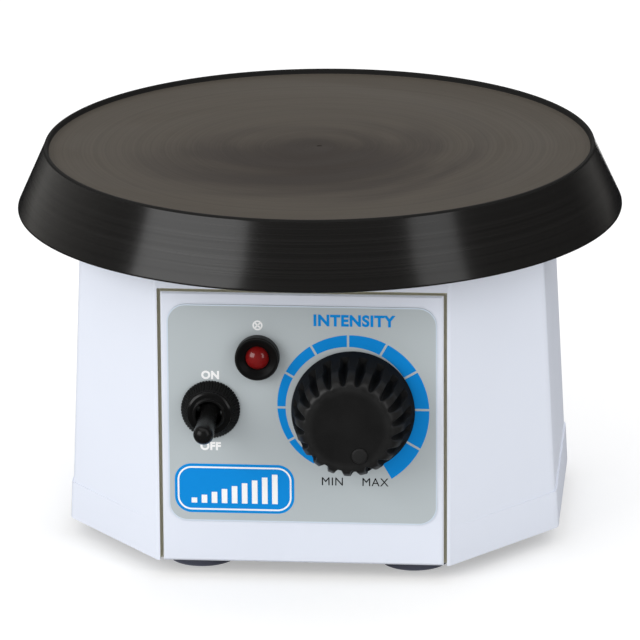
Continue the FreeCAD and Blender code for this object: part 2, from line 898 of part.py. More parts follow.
def across(radius, length, level):
    """A rod along X, centred on the Z axis."""
    return Part.makeCylinder(radius, length, Vector(-length / 2, 0, level), Vector(1, 0, 0))


def toggle_bushing():
    profile = [
        (toggle_bore_radius, toggle_case_front),
        (toggle_bushing_radius, toggle_case_front),
        (toggle_bushing_radius, toggle_bushing_reach),
        (toggle_nose_radius, toggle_bushing_reach),
        (toggle_nose_radius, toggle_front),
        (toggle_bore_radius, toggle_front),
    ]
    pin_way = across(toggle_pin_radius + screw_fit, 2 * toggle_bushing_radius, toggle_pivot)
    return on_toggle(revolved(profile).cut(pin_way))


def toggle_pivot_pin():
    length = 2 * (toggle_bushing_radius - toggle_pin_inset)
    return on_toggle(across(toggle_pin_radius, length, toggle_pivot))


def toggle_dress_nut():
    inner = toggle_bushing_radius + screw_fit
    top = label_thickness + toggle_nut_thickness
    profile = [
        (inner, label_thickness),
        (toggle_nut_radius, label_thickness),
        (toggle_nut_radius, top - toggle_nut_bevel),
        (toggle_nut_radius - toggle_nut_bevel, top),
        (inner, top),
    ]
    outer = toggle_nut_radius + knurl_depth
    half_width = 2 * knurl_depth
    wedge = [(toggle_nut_radius - knurl_depth, 0), (outer, -half_width), (outer, half_width)]
    notch = prism(wedge, label_thickness, toggle_nut_thickness)
    notches = []
    for step in range(knurl_count):
        copy = notch.copy()
        copy.rotate(Vector(0, 0, 0), Vector(0, 0, 1), step * 360 / knurl_count)
        notches.append(copy)
    return on_toggle(revolved(profile).cut(notches))


def toggle_back_nut():
    nut = hexagon(toggle_back_nut_flat_radius, toggle_case_front, toggle_back_nut_thickness)
    thread = rod(toggle_bushing_radius + screw_fit, toggle_back_nut_thickness, toggle_case_front)
    return on_toggle(nut.cut(thread))


def toggle_case():
    low = toggle_case_front - toggle_case_depth
    case = rounded_block(toggle_case_width, toggle_case_height, toggle_case_depth, low, toggle_case_round)
    return on_toggle(case)


def toggle_terminals():
    low = toggle_case_front - toggle_case_depth - terminal_length
    blades = [
        block(terminal_width, terminal_thickness, terminal_length, low, 0, side * terminal_spacing / 2)
        for side in (-1, 1)
    ]
    return group(on_toggle(blade) for blade in blades)


def toggle_lever():
    """The bat lever, its ball and its tail, turned about the lever's own axis and then tilted to OFF."""
    tip_start = lever_length - lever_tip_radius
    tip = []
    for step in range(lever_tip_steps + 1):
        turn = math.pi / 2 * step / lever_tip_steps
        tip.append((lever_tip_radius * math.cos(turn), tip_start + lever_tip_radius * math.sin(turn)))
    ball_half = toggle_ball_radius * math.sqrt(0.5)
    profile = [
        (0, -toggle_tail_length),
        (toggle_tail_radius, -toggle_tail_length),
        (toggle_tail_radius, -toggle_ball_radius),
        (ball_half, -ball_half),
        (toggle_ball_radius, 0),
        (ball_half, ball_half),
        (lever_root_radius, toggle_ball_radius),
        *tip,
    ]
    lever = revolved(profile).cut(across(toggle_pin_radius + shaft_fit, 4 * toggle_ball_radius, 0))
    lever.rotate(Vector(0, 0, 0), Vector(1, 0, 0), toggle_tilt)
    return on_toggle(at(lever, 0, 0, toggle_pivot))


def on_lamp(solid):
    return on_panel(solid, lamp_x, lamp_rise)


def lamp_holder():
    bore = lamp_lens_radius + shaft_fit
    dish = label_thickness + lamp_flange_height - lamp_dish_depth
    front = label_thickness + lamp_flange_height
    floor = -panel_thickness - lamp_barrel_length
    profile = [
        (bore, -lamp_lens_seat),
        (bore, dish),
        (lamp_flange_radius - lamp_flange_round, front),
        (lamp_flange_radius, front - lamp_flange_round),
        (lamp_flange_radius, label_thickness),
        (lamp_barrel_radius, label_thickness),
        (lamp_barrel_radius, floor),
        (0, floor),
        (0, floor + lamp_floor),
        (bore - lamp_seat_step, floor + lamp_floor),
        (bore - lamp_seat_step, -lamp_lens_seat),
    ]
    return on_lamp(revolved(profile))


def lamp_lens():
    shoulder = label_thickness + lamp_flange_height - lamp_dish_depth
    foot = rod(lamp_lens_radius, shoulder + lamp_lens_seat, -lamp_lens_seat)
    dome_radius = (lamp_lens_radius ** 2 + lamp_dome_height ** 2) / (2 * lamp_dome_height)
    ball = Part.makeSphere(dome_radius, Vector(0, 0, shoulder + lamp_dome_height - dome_radius))
    dome = ball.common(rod(lamp_lens_radius, 2 * lamp_dome_height, shoulder))
    return on_lamp(foot.fuse(dome).removeSplitter())


def lamp_bulb():
    low = -panel_thickness - lamp_barrel_length + lamp_floor
    tip = low + bulb_length
    profile = [(0, low), (bulb_radius, low), (bulb_radius, tip - bulb_radius), (0, tip)]
    return on_lamp(revolved(profile))


def lamp_nut():
    low = -panel_thickness - lamp_nut_thickness
    nut = hexagon(lamp_nut_flat_radius, low, lamp_nut_thickness)
    return on_lamp(nut.cut(rod(lamp_barrel_radius + screw_fit, lamp_nut_thickness, low)))


def cord_grommet():
    wall = housing_wall * math.cos(lean)
    profile = [
        (grommet_bore_radius, -wall - grommet_flange_thickness),
        (grommet_flange_radius, -wall - grommet_flange_thickness),
        (grommet_flange_radius, -wall),
        (grommet_neck_radius, -wall),
        (grommet_neck_radius, 0),
        (grommet_flange_radius, 0),
        (grommet_flange_radius, grommet_flange_thickness - grommet_bevel),
        (grommet_flange_radius - grommet_bevel, grommet_flange_thickness),
        (grommet_bore_radius, grommet_flange_thickness),
    ]
    return on_rear(revolved(profile), 0, grommet_rise)


def all_pieces():
    """Every piece of the machine, by the name of its node."""
    pieces = {
        "housing_shell": housing_shell(),
        "base_plate": base_plate(),
        "base_screws": screws_from_below(base_screw_length, boss_spots),
        "foot_screws": foot_screws(),
        "foot_nuts": foot_nuts(),
        "front_panel": front_panel(),
        "panel_label": panel_label(),
        "panel_screws": panel_screws(),
        "magnet_core": magnet_core(),
        "coil_bobbin": coil_bobbin(),
        "coil_winding": coil_winding(),
        "core_bolts": core_bolts(),
        "core_nuts": core_nuts(),
        "bracket_screws": bracket_screws(),
        "post_screws": screws_from_below(base_thickness + post_screw_depth, post_spots),
        "spring_end_screws": spring_end_screws(),
        "spring_carrier": spring_carrier(),
        "clamp_screws": clamp_screws(),
        "armature": armature(),
        "armature_screws": armature_screws(),
        "drive_hub": drive_hub(),
        "hub_screws": hub_screws(),
        "table_plate": table_plate(),
        "table_plate_screws": table_plate_screws(),
        "rubber_table_cover": rubber_table_cover(),
        "control_knob": control_knob(),
        "knob_set_screw": knob_set_screw(),
        "pot_shaft": pot_shaft(),
        "pot_case": pot_case(),
        "pot_bushing": pot_bushing(),
        "pot_nut": pot_nut(),
        "control_board": control_board(),
        "triac": triac(),
        "capacitor": capacitor(),
        "toggle_case": toggle_case(),
        "toggle_terminals": toggle_terminals(),
        "toggle_bushing": toggle_bushing(),
        "toggle_pivot_pin": toggle_pivot_pin(),
        "toggle_dress_nut": toggle_dress_nut(),
        "toggle_back_nut": toggle_back_nut(),
        "toggle_lever": toggle_lever(),
        "lamp_holder": lamp_holder(),
        "lamp_lens": lamp_lens(),
        "lamp_bulb": lamp_bulb(),
        "lamp_nut": lamp_nut(),
        "cord_grommet": cord_grommet(),
    }
    for name, (side, end) in CORNERS.items():
        pieces["foot_" + name] = rubber_foot(side * foot_x, end * foot_y)
        pieces["spring_post_" + name] = spring_post(side * post_x, end * spring_y)
    for name, end in ENDS.items():
        pieces["core_bracket_" + name] = core_bracket(end)
        pieces["leaf_spring_" + name] = leaf_spring(end)
        pieces["clamp_bar_" + name] = clamp_bar(end)
    return pieces


os.makedirs("parts", exist_ok=True)
for node, shape in all_pieces().items():
    shape.exportStep("parts/" + node + ".step")
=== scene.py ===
"""Looks of a bench vibrator: finishes, printed panel, turned and moulded pieces, stage and camera."""
import json
import math

import bmesh
import bpy
from bpy.props import FloatProperty, FloatVectorProperty, IntProperty, PointerProperty
from bpy.types import NodeSocket, Operator, Panel, PropertyGroup
from mathutils import Matrix, Vector


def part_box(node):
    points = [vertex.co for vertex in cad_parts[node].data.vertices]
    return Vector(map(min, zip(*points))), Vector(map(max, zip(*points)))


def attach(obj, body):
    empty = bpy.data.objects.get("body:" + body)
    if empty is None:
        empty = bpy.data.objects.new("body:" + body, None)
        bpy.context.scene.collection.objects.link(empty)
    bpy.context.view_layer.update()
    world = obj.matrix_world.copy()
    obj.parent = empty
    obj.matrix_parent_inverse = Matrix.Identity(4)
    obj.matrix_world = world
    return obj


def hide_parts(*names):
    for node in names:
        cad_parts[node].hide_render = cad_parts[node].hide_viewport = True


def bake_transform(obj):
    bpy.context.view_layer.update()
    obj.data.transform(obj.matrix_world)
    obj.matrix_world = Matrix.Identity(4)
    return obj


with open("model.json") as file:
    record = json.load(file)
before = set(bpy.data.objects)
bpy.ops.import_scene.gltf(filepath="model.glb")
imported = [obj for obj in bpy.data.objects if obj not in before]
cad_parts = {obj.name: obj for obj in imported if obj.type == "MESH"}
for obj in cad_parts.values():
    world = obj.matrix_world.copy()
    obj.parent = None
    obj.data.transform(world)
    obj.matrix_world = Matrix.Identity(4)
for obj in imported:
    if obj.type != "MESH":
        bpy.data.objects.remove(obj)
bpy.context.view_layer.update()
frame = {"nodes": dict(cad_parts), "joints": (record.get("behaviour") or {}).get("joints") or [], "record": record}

bl_info = {
    "name": "Bench Vibrator Looks",
    "version": (1, 0, 0),
    "blender": (4, 5, 0),
    "location": "View3D > Sidebar > Vibrator",
    "description": "Dresses the bench vibrator in its finishes and sets its stage",
    "category": "Object",
}

JOINTS = {joint["name"]: joint for joint in frame["joints"]}
MM = 0.001
RIGHT = Vector((1, 0, 0))
LEVEL = (1, 1, 0)
AXIS_REACH = 1e-6
SMOOTH_ANGLE = math.radians(38)

# Roundings of turned and moulded edges
HAIR_EDGE = 0.07 * MM
SHARP_EDGE = 0.1 * MM
CRISP_EDGE = 0.15 * MM
FINE_EDGE = 0.2 * MM
EASED_EDGE = 0.3 * MM
RIM_EDGE = 0.33 * MM
KNOB_EDGE = 0.35 * MM
SOFT_EDGE = 0.4 * MM
DOT_EDGE = 0.45 * MM
ROUND_EDGE = 0.5 * MM
FULL_EDGE = 0.6 * MM
HEM_EDGE = 0.8 * MM

# Steps along and round the outlines
EDGE_STEPS = 6
ARC_STEPS = 12
DOME_STEPS = 16
FLUTE_STEPS = 24
KNURL_STEPS = 8
BEND_STEPS = 8
WALL_STEPS = 60
SCREW_SIDES = 40
DOT_SIDES = 48
SMALL_SIDES = 64
GROMMET_SIDES = 72
ROUND_SIDES = 96
TABLE_STEP = 6 * MM
GRIP_STEP = 0.4 * MM
FACE_STEP = 1.5 * MM
LEVER_STEP = 1.2 * MM
LENS_STEP = 1 * MM

# Printed letters, as shares of their height
CAPITAL_SHARE = 0.73
LETTER_SPACE = 1.08
FINE_BOLDNESS = 0.0
BOLDNESS = 0.058
HEAVY_BOLDNESS = 0.066

# The table cover's grip on the steel plate
GRIP_WIDTH = 4 * MM
GRIP_DEPTH = 3 * MM
GRIP_WALL = 1.2 * MM
PLATE_GAP = 0.1 * MM
HEM_SLANT = 0.3 * MM

# Fixed sizes of the label, knob, switch and lamp: seats, bores, hidden ends, chamfers and lips
LABEL_FACE = 0.3 * MM
HOLLOW_RADIUS = 9.0 * MM
HOLLOW_HIGH = 8.5 * MM
SHAFT_RADIUS = 3.05 * MM
SHAFT_HIGH = 14.55 * MM
SET_SCREW_RADIUS = 1.55 * MM
SET_SCREW_RISE = 11.0 * MM
DOT_FOOT = 0.1 * MM
THREAD_RADIUS = 5.95 * MM
BUSHING_LOW = -4.9 * MM
CHAMFER_RISE = 0.36 * MM
CHAMFER_WIDTH = 0.6 * MM
BALL_RADIUS = 2.9 * MM
TAIL_LENGTH = 5.0 * MM
TAIL_RADIUS = 1.2 * MM
LENS_GAP = 0.05 * MM
LENS_LOW = -2.0 * MM
BEZEL_LIP = 0.8 * MM
BEZEL_DROP = 0.2 * MM
BARREL_RADIUS = 4.2 * MM
BARREL_LOW = -20.5 * MM
BARREL_STEP = 0.5 * MM

# Feet and grommet
FOOT_SPREAD = 0.7 * MM
FOOT_TAPER = 0.05 * MM
RECESS_RADIUS = 3.1 * MM
RECESS_HIGH = 2.4 * MM
FOOT_HOLE = 1.6 * MM
CORD_RADIUS = 3.6 * MM
NECK_RADIUS = 5.5 * MM
COLLAR_RADIUS = 7.5 * MM
REAR_WALL = 3.0 * MM

# Finishes: roughness, gloss, masks and the ranges of noise that they use
MATTE = 0.8
POLISHED = 0.3
ROUGH_DRIFT = 0.05
METAL_DRIFT = 0.1
WORN_GREY = (0.6, 0.6, 0.6)
BRIGHT_METAL = (0.85, 0.85, 0.86)
CLOUDED_GLASS = (0.9, 0.86, 0.8)
CLEAR_GLASS = (0.98, 0.96, 0.94)
NOISE_RANGE = (0.3, 0.7)
SMEAR_RANGE = (0.38, 0.62)
EDGE_LIKENESS = (0.995, 0.85)
SWIRL = (0.35, 0.35, 0.35)
SEAM_REACH = 6 * MM
SEAM_WIDTH = 1.0 * MM
DARK_SHARE = 0.2
FACE_ROUGH = (0.70, 0.84)
RIM_ROUGH = 0.85
SKIRT_ROUGH = (0.16, 0.22)
SKIRT_GLOSS = (0.36, 0.5)
SKIRT_COAT = 0.14
HANDLED_DEPTH = (0.7 * MM, 0.1 * MM)
# Depth of the knob's lighter ring, partly painted sheen and partly handling wear
GREYED_DEPTH = (1.6 * MM, 0.0)
HANDLED_RISE = (12.0 * MM, 16.5 * MM)
GROOVE_RISE = (17.0 * MM, 11.0 * MM)
FACE_OVER = 0.05 * MM
FACE_UNDER = 0.25 * MM

# Stage
FLOOR_SIZE = 12.0
FLOOR_DEPTH = 0.01
FLOOR_LIFT = 0.35
WALL_RADIUS = 2.6
WALL_HEIGHT = 3.4
WALL_SWEEP = math.radians(330)
WALL_FADE = (0.2 * WALL_RADIUS, 0.9 * WALL_RADIUS)
CLOTH_RADIUS = 0.04
CLOTH_RISE = Vector((0, 0, 0.5 * MM))
REAR_SIDE = Vector((-0.4, 0.92, 0))
WHITE = (1, 1, 1, 1)
SENSOR_WIDTH = 36
FAR_SIGHT = 100


def middle(node):
    """The middle of a CAD node's box."""
    low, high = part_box(node)
    return (low + high) / 2


def span(node):
    """The size of a CAD node's box."""
    low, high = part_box(node)
    return high - low


def axes_matrix(right, outward, origin):
    """A frame with x to the right, y up and z outward."""
    up = outward.cross(right)
    matrix = Matrix((right, up, outward)).transposed().to_4x4()
    matrix.translation = origin
    return matrix


def shift(x, y, z=0.0):
    """A move within a frame."""
    return Matrix.Translation((x, y, z))


def panel_matrix():
    """The front panel's frame: its origin is where the knob's axis meets the panel's face."""
    joint = JOINTS["control_knob_turn"]
    return axes_matrix(RIGHT, Vector(joint["axis"]), Vector(joint["pos_m"]))


def toggle_matrix():
    """The switch's frame: its origin is the lever's pivot and z points out of the panel."""
    joint = JOINTS["toggle_flip"]
    return axes_matrix(-Vector(joint["axis"]), OUTWARD, Vector(joint["pos_m"]))


def on_panel(point):
    """A frame like the panel's, moved along the panel to below a point that stands off it."""
    local = PANEL.inverted() @ point
    return PANEL @ shift(local.x, local.y)


# Frames of the panel, switch, lamp and label; PIVOT is the lever's pivot as the panel's frame sees it
PANEL = panel_matrix()
OUTWARD = PANEL.col[2].xyz
LEAN = math.asin(OUTWARD.z)
TOGGLE = toggle_matrix()
PIVOT = PANEL.inverted() @ TOGGLE.translation
LAMP = on_panel(middle("lamp_nut"))
LABEL = on_panel(middle("panel_label"))


# Settings

def size(name, description, millimetres):
    """A length that a user may change, given in millimetres."""
    return FloatProperty(name=name, description=description, default=millimetres * MM, unit="LENGTH",
                         subtype="DISTANCE", precision=5)


def turn(name, description, degrees):
    """An angle that a user may change, given in degrees."""
    return FloatProperty(name=name, description=description, default=math.radians(degrees), subtype="ANGLE")


def count(name, description, number):
    """A number of like things that a user may change."""
    return IntProperty(name=name, description=description, default=number, min=2)


def colour(name, description, value):
    """A linear colour that a user may change."""
    return FloatVectorProperty(name=name, description=description, default=value, size=3, min=0, max=1,
                               subtype="COLOR")


def grey(name, description, value):
    """A neutral colour that a user may change."""
    return colour(name, description, (value, value, value))


class TableSettings(PropertyGroup):
    """Sizes of the round rubber table."""
    rim_radius: size("Rim radius", "Radius of the raised rim's outer edge", 74.9)
    lip_width: size("Lip width", "Width of the raised rim", 0.8)
    lip_height: size("Lip height", "Height of the rim over the table's face", 1.5)
    rim_band: size("Rim band", "Height of the upright band round the rim", 0.6)
    rim_flare: size("Rim flare", "How much wider the band is at its foot", 0.15)
    wall: size("Wall", "Thickness of the rubber", 3.5)
    dimple_radius: size("Dimple radius", "Radius of the mould's mark in the face", 0.7)
    dimple_depth: size("Dimple depth", "Depth of the mould's mark", 0.15)
    # Where the face's tone of dust, wear and painted sheen is darkest, and how smears spread it
    dark_shift: size("Worn shift", "How far in front of the middle the face is darkest", 16)
    dark_spread: size("Worn spread", "How far smears shift the edge of the dark part", 36)
    segments: count("Segments", "Steps round the table", 240)


class PrintSettings(PropertyGroup):
    """Sizes of what is printed on the label; places are measured from the knob's axis."""
    ink: size("Ink thickness", "How far the print stands off the label", 0.03)
    scale_x: size("Scale across", "Centre of the dial scale, across", -1.35)
    scale_y: size("Scale up", "Centre of the dial scale, up", 0.3)
    scale_start_radius: size("Scale start radius", "Outer radius where the scale starts", 18.0)
    scale_end_radius: size("Scale end radius", "Outer radius where the scale ends", 22.4)
    scale_start_width: size("Scale start width", "Width where the scale starts", 1.5)
    scale_end_width: size("Scale end width", "Width where the scale ends", 4.9)
    scale_gap: size("Scale gap", "Gap between two scale segments", 0.62)
    scale_count: count("Scale segments", "Segments of the dial scale", 10)
    scale_start: turn("Scale start", "Where the scale starts, from the right", 240)
    scale_sweep: turn("Scale sweep", "How far the scale turns clockwise", 300)
    border: size("Border", "Width of the pale line round the label", 0.35)
    border_radius: size("Border radius", "Corner radius of the label", 5.0)
    word_height: size("Word height", "Height of the capitals at the dial", 2.35)
    switch_height: size("Switch word height", "Height of the capitals at the switch", 2.15)
    heading_height: size("Heading height", "Height of the heading's capitals", 3.05)
    heading_x: size("Heading across", "Middle of the heading", 0.15)
    heading_y: size("Heading up", "Foot of the heading", 23.05)
    ends_x: size("Dial words across", "Middle of the words at the dial's ends", 5.7)
    ends_y: size("Dial words up", "Foot of the words at the dial's ends", -21.1)
    on_y: size("On word up", "Foot of the word over the switch, from the switch", 8.4)
    off_x: size("Off word across", "Middle of the word under the switch, from the switch", -0.15)
    off_y: size("Off word up", "Foot of the word under the switch, from the switch", -11.3)
    sign_radius: size("Lamp sign radius", "Radius of the lamp sign", 1.35)
    sign_line: size("Lamp sign line", "Width of the lamp sign's lines", 0.42)
    sign_y: size("Lamp sign up", "Middle of the lamp sign, from the lamp", 8.5)
    badge_x: size("Badge across", "Middle of the blue field, across", -31.9)
    badge_y: size("Badge up", "Middle of the blue field, up", -22.55)
    badge_width: size("Badge width", "Width of the blue field", 32.0)
    badge_height: size("Badge height", "Height of the blue field", 13.6)
    badge_radius: size("Badge radius", "Corner radius of the blue field", 4.5)
    badge_inset: size("Badge inset", "From the blue field's edge to its white line", 0.75)
    badge_line: size("Badge line", "Width of the white line in the blue field", 0.45)
    bar_width: size("Bar width", "Width of a level bar", 1.5)
    bar_pitch: size("Bar pitch", "From one level bar to the next", 2.7)
    bar_low: size("Lowest bar", "Height of the first level bar", 1.4)
    bar_high: size("Highest bar", "Height of the last level bar", 8.2)
    bar_count: count("Bars", "Level bars in the blue field", 9)


class KnobSettings(PropertyGroup):
    """Sizes of the fluted control knob, along its axis from the panel's face."""
    flange_radius: size("Flange radius", "Radius of the smooth ring at the panel", 16.45)
    flange_low: size("Flange gap", "Gap between the knob and the panel", 1.2)
    flange_high: size("Flange top", "Height of the smooth ring's upright rim", 2.0)
    grip_radius: size("Grip radius", "Radius over the ridges where the grip starts", 15.85)
    grip_low: size("Grip start", "Height where the grip and its grooves start", 4.6)
    shoulder_radius: size("Shoulder radius", "Radius over the ridges at the shoulder", 14.7)
    shoulder_low: size("Shoulder start", "Height where the grip rounds over", 10.0)
    face_radius: size("Face radius", "Radius of the flat front face", 10.7)
    height: size("Height", "Height of the front face", 18.0)
    flutes: count("Flutes", "Grooves round the grip", 20)
    flute_phase: turn("Flute phase", "Where the first groove lies", 6.5)
    flute_end: size("Flute end", "Length of a groove's rounded end", 0.9)
    flute_root: size("Flute root radius", "Radius of a groove's floor where it starts", 14.4)
    flute_front: size("Flute front radius", "Radius of a groove's floor at the face", 11.4)
    flute_depth: size("Flute depth", "Depth at which a groove has its full width", 2.0)
    flute_half: size("Flute half width", "Half the full width of a groove", 1.4)
    ridge_round: size("Ridge rounding", "How softly a groove runs out over the ridges", 0.3)
    dot_radius: size("Dot radius", "Radius of the raised pointer dot", 2.05)
    dot_height: size("Dot height", "Height of the raised pointer dot", 0.5)
    dot_offset: size("Dot offset", "Distance of the dot from the axis", 8.0)
    dot_angle: turn("Dot angle", "Where the dot lies, from the right", -68)


class SwitchSettings(PropertyGroup):
    """Sizes of the toggle switch, along its axis from the panel's face."""
    nut_radius: size("Nut radius", "Radius over the knurl of the dress nut", 7.9)
    nut_wall: size("Nut wall", "Height where the nut's knurled cone starts", 1.2)
    nut_high: size("Nut top", "Height of the nut's front face", 4.1)
    nut_front: size("Nut front", "Radius of the nut's front face", 6.2)
    knurls: count("Knurls", "Notches round the nut", 60)
    knurl_depth: size("Knurl depth", "Depth of a notch", 0.3)
    bushing_radius: size("Bushing radius", "Radius of the threaded bushing", 5.9)
    bushing_high: size("Bushing top", "Height of the bushing's shoulder", 5.0)
    nose_radius: size("Nose radius", "Radius of the bushing's nose", 4.25)
    nose_high: size("Nose top", "Height of the bushing's nose", 5.8)
    bore_radius: size("Bore radius", "Radius of the lever's way out", 3.5)
    lever_length: size("Lever length", "From the pivot to the lever's tip", 14.7)
    lever_neck: size("Lever neck", "Radius of the lever where it leaves the ball", 2.3)
    lever_tip: size("Lever tip", "Radius of the lever's rounded tip", 2.75)
    tilt: turn("Tilt", "How far the lever leans down at rest", 15)


class LampSettings(PropertyGroup):
    """Sizes of the pilot lamp, along its axis from the panel's face."""
    bezel_radius: size("Bezel radius", "Radius of the black bezel", 5.9)
    bezel_high: size("Bezel top", "Height of the bezel", 3.6)
    dish_low: size("Dish floor", "Height where the lens comes out of the dish", 2.1)
    lens_radius: size("Lens radius", "Radius of the red lens", 3.1)
    lens_dome: size("Lens dome", "Height of the lens over its seat", 1.9)


class FinishSettings(PropertyGroup):
    """Colours of the finishes."""
    housing: colour("Housing", "Moulded white of the housing", (0.805, 0.845, 0.94))
    # Painted shade: an olive dark colour painted on the walls of the gap round the panel, standing in for the
    # shade there
    seam: colour("Seam", "Dirt in the gap round the panel", (0.66, 0.64, 0.52))
    label: colour("Label", "Grey film of the label", (0.490, 0.538, 0.556))
    ink_blue: colour("Blue ink", "Blue print on the label", (0.005, 0.265, 0.73))
    ink_white: grey("White ink", "White print on the label", 0.98)
    ink_pale: colour("Pale ink", "Line round the label", (0.66, 0.74, 0.84))
    ink_black: colour("Black ink", "Black print on the label", (0.012, 0.012, 0.013))
    # Table face tones: dust and wear, and partly painted sheen; the face is paler outward than in its middle
    rubber_middle: colour("Table middle", "Worn middle of the face", (0.031, 0.0235, 0.0185))
    rubber_dust_and_sheen: colour("Table dust", "Dusty outer part of the face", (0.077, 0.066, 0.053))
    rubber_skirt: colour("Table skirt", "Black rubber of the skirt", (0.011, 0.0105, 0.010))
    black: grey("Black plastic", "Switch and bezel", 0.006)
    knob: grey("Knob", "Black of the knob", 0.0092)
    # Painted shade: the deeper black painted into the knob's grooves stands in for the shade there
    groove: grey("Knob grooves", "Deeper black of the knob's grooves", 0.0022)
    # Partly painted sheen: the lighter ring where the ridges meet the face stands for wear from hands and for
    # light the ridges catch
    handled: grey("Knob edge", "Black greyed by hands at the knob's front edge", 0.018)
    dot: grey("Pointer dot", "Worn black of the knob's dot", 0.019)
    lens: colour("Lens", "Red pilot lens", (0.20, 0.006, 0.006))
    foot: colour("Feet", "Slate rubber of the feet", (0.11, 0.118, 0.165))
    wall: colour("Studio wall", "Dark wall that glossy surfaces mirror", (0.01, 0.01, 0.011))
    wall_back: colour("Studio wall, rear", "Lighter rear of the wall", (0.42, 0.41, 0.39))
    floor: grey("Floor", "Pale floor", 0.74)


class StageSettings(PropertyGroup):
    """Camera and even light."""
    azimuth: turn("Azimuth", "Camera's turn round the object from the front", 5.07)
    elevation: turn("Elevation", "Camera's angle over the horizon", 17.83)
    roll: turn("Roll", "Camera's turn about its own line of sight", -0.55)
    distance: size("Distance", "From the camera to its target", 1534.7)
    target: FloatVectorProperty(name="Target", description="Point at the middle of the picture",
                                default=(-0.0003, 0, 0.0532), subtype="TRANSLATION", unit="LENGTH")
    lens: FloatProperty(name="Lens", description="Focal length on a 36 mm sensor", default=313.7, min=1,
                        unit="CAMERA")
    fill: FloatProperty(name="Fill", description="Strength of the light from all round", default=0.82, min=0)


GROUPS = {
    "table": TableSettings,
    "print": PrintSettings,
    "knob": KnobSettings,
    "switch": SwitchSettings,
    "lamp": LampSettings,
    "finish": FinishSettings,
    "stage": StageSettings,
}


def settings(group):
    """One group of the scene's settings."""
    return getattr(bpy.context.scene, "vibrator_" + group)


# Outlines and meshes

def rounded(corners, closed=True):
    """Points of an outline whose corners are (radius, height, rounding)."""
    points = []
    last = len(corners) - 1
    for index, (radius, height, rounding) in enumerate(corners):
        corner = Vector((radius, height))
        if rounding == 0 or (not closed and index in (0, last)):
            points.append(corner)
            continue
        before = Vector(corners[index - 1][:2]) - corner
        after = Vector(corners[(index + 1) % len(corners)][:2]) - corner
        start = corner + before.normalized() * rounding
        end = corner + after.normalized() * rounding
        for step in range(EDGE_STEPS + 1):
            share = step / EDGE_STEPS
            points.append(start * (1 - share) ** 2 + corner * 2 * share * (1 - share) + end * share ** 2)
    return points


def straight(points, longest):
    """The same outline with points added so that no step is longer than that."""
    finer = []
    for first, second in zip(points, points[1:]):
        steps = max(1, math.ceil((second - first).length / longest))
        finer += [first.lerp(second, step / steps) for step in range(steps)]
    return finer + points[-1:]


def arc(centre, reach, start, end, steps=ARC_STEPS):
    """Points of an arc; reach is its radius across and up, and angles count from the right."""
    points = []
    for step in range(steps + 1):
        angle = start + (end - start) * step / steps
        x = centre[0] + reach[0] * math.cos(angle)
        y = centre[1] + reach[1] * math.sin(angle)
        points.append(Vector((x, y)))
    return points


def rounded_rectangle(width, height, radius):
    """The outline of a rectangle with round corners, about the origin."""
    points = []
    for quarter, (side, end) in enumerate(((1, 1), (-1, 1), (-1, -1), (1, -1))):
        centre = (side * (width / 2 - radius), end * (height / 2 - radius))
        points += arc(centre, (radius, radius), math.pi / 2 * quarter, math.pi / 2 * (quarter + 1))
    return points


def facing_out(mesh):
    """The same mesh with its faces turned outward."""
    bmesh.ops.recalc_face_normals(mesh, faces=mesh.faces)
    return mesh


def bridge(mesh, low, high, steps):
    """Faces between two rings of points; a ring of one point is a pole."""
    for step in range(steps):
        after = (step + 1) % steps
        first = [low[step % len(low)], low[after % len(low)]]
        second = [high[after % len(high)], high[step % len(high)]]
        mesh.faces.new(list(dict.fromkeys(first + second)))


def turned(outline, sides, wave=None):
    """A mesh turned about Z. An outline that starts and ends on the axis is open, any other is a ring."""
    mesh = bmesh.new()
    rings = []
    for radius, height in outline:
        if radius < AXIS_REACH:
            rings.append([mesh.verts.new((0, 0, height))])
            continue
        ring = []
        for step in range(sides):
            angle = 2 * math.pi * step / sides
            reach = wave(angle, radius, height) if wave else radius
            ring.append(mesh.verts.new((reach * math.cos(angle), reach * math.sin(angle), height)))
        rings.append(ring)
    for low, high in zip(rings, rings[1:]):
        bridge(mesh, low, high, sides)
    if len(rings[0]) > 1 and len(rings[-1]) > 1:
        bridge(mesh, rings[-1], rings[0], sides)
    return facing_out(mesh)


def plate(loops, thickness):
    """Flat prints of a given thickness on z = 0, one for each closed outline of (x, y) points."""
    mesh = bmesh.new()
    for loop in loops:
        low = [mesh.verts.new((x, y, 0)) for x, y in loop]
        high = [mesh.verts.new((x, y, thickness)) for x, y in loop]
        mesh.faces.new(low[::-1])
        mesh.faces.new(high)
        bridge(mesh, low, high, len(loop))
    return facing_out(mesh)


def outlined(width, height, radius, line):
    """A printed line along the inner side of a rectangle with round corners."""
    thickness = settings("print").ink
    outer = rounded_rectangle(width, height, radius)
    inner = rounded_rectangle(width - 2 * line, height - 2 * line, radius - line)
    mesh = bmesh.new()
    rings = []
    for loop, level in ((outer, 0), (outer, thickness), (inner, thickness), (inner, 0)):
        rings.append([mesh.verts.new((x, y, level)) for x, y in loop])
    for first, second in zip(rings, rings[1:] + rings[:1]):
        bridge(mesh, first, second, len(outer))
    return facing_out(mesh)


def data_from(mesh, name):
    """Mesh data with a mesh's shape; the mesh is freed."""
    data = bpy.data.meshes.new(name)
    mesh.to_mesh(data)
    mesh.free()
    return data


def added(data, mesh):
    """A mesh with the shape of mesh data added to it; the data is removed."""
    mesh.from_mesh(data)
    bpy.data.meshes.remove(data)
    return mesh


def linked(name, data):
    """A new object in the scene."""
    made = bpy.data.objects.new(name, data)
    bpy.context.scene.collection.objects.link(made)
    return made


def joined(parts):
    """One mesh from several."""
    whole = bmesh.new()
    for part in parts:
        added(data_from(part, "part"), whole)
    return whole


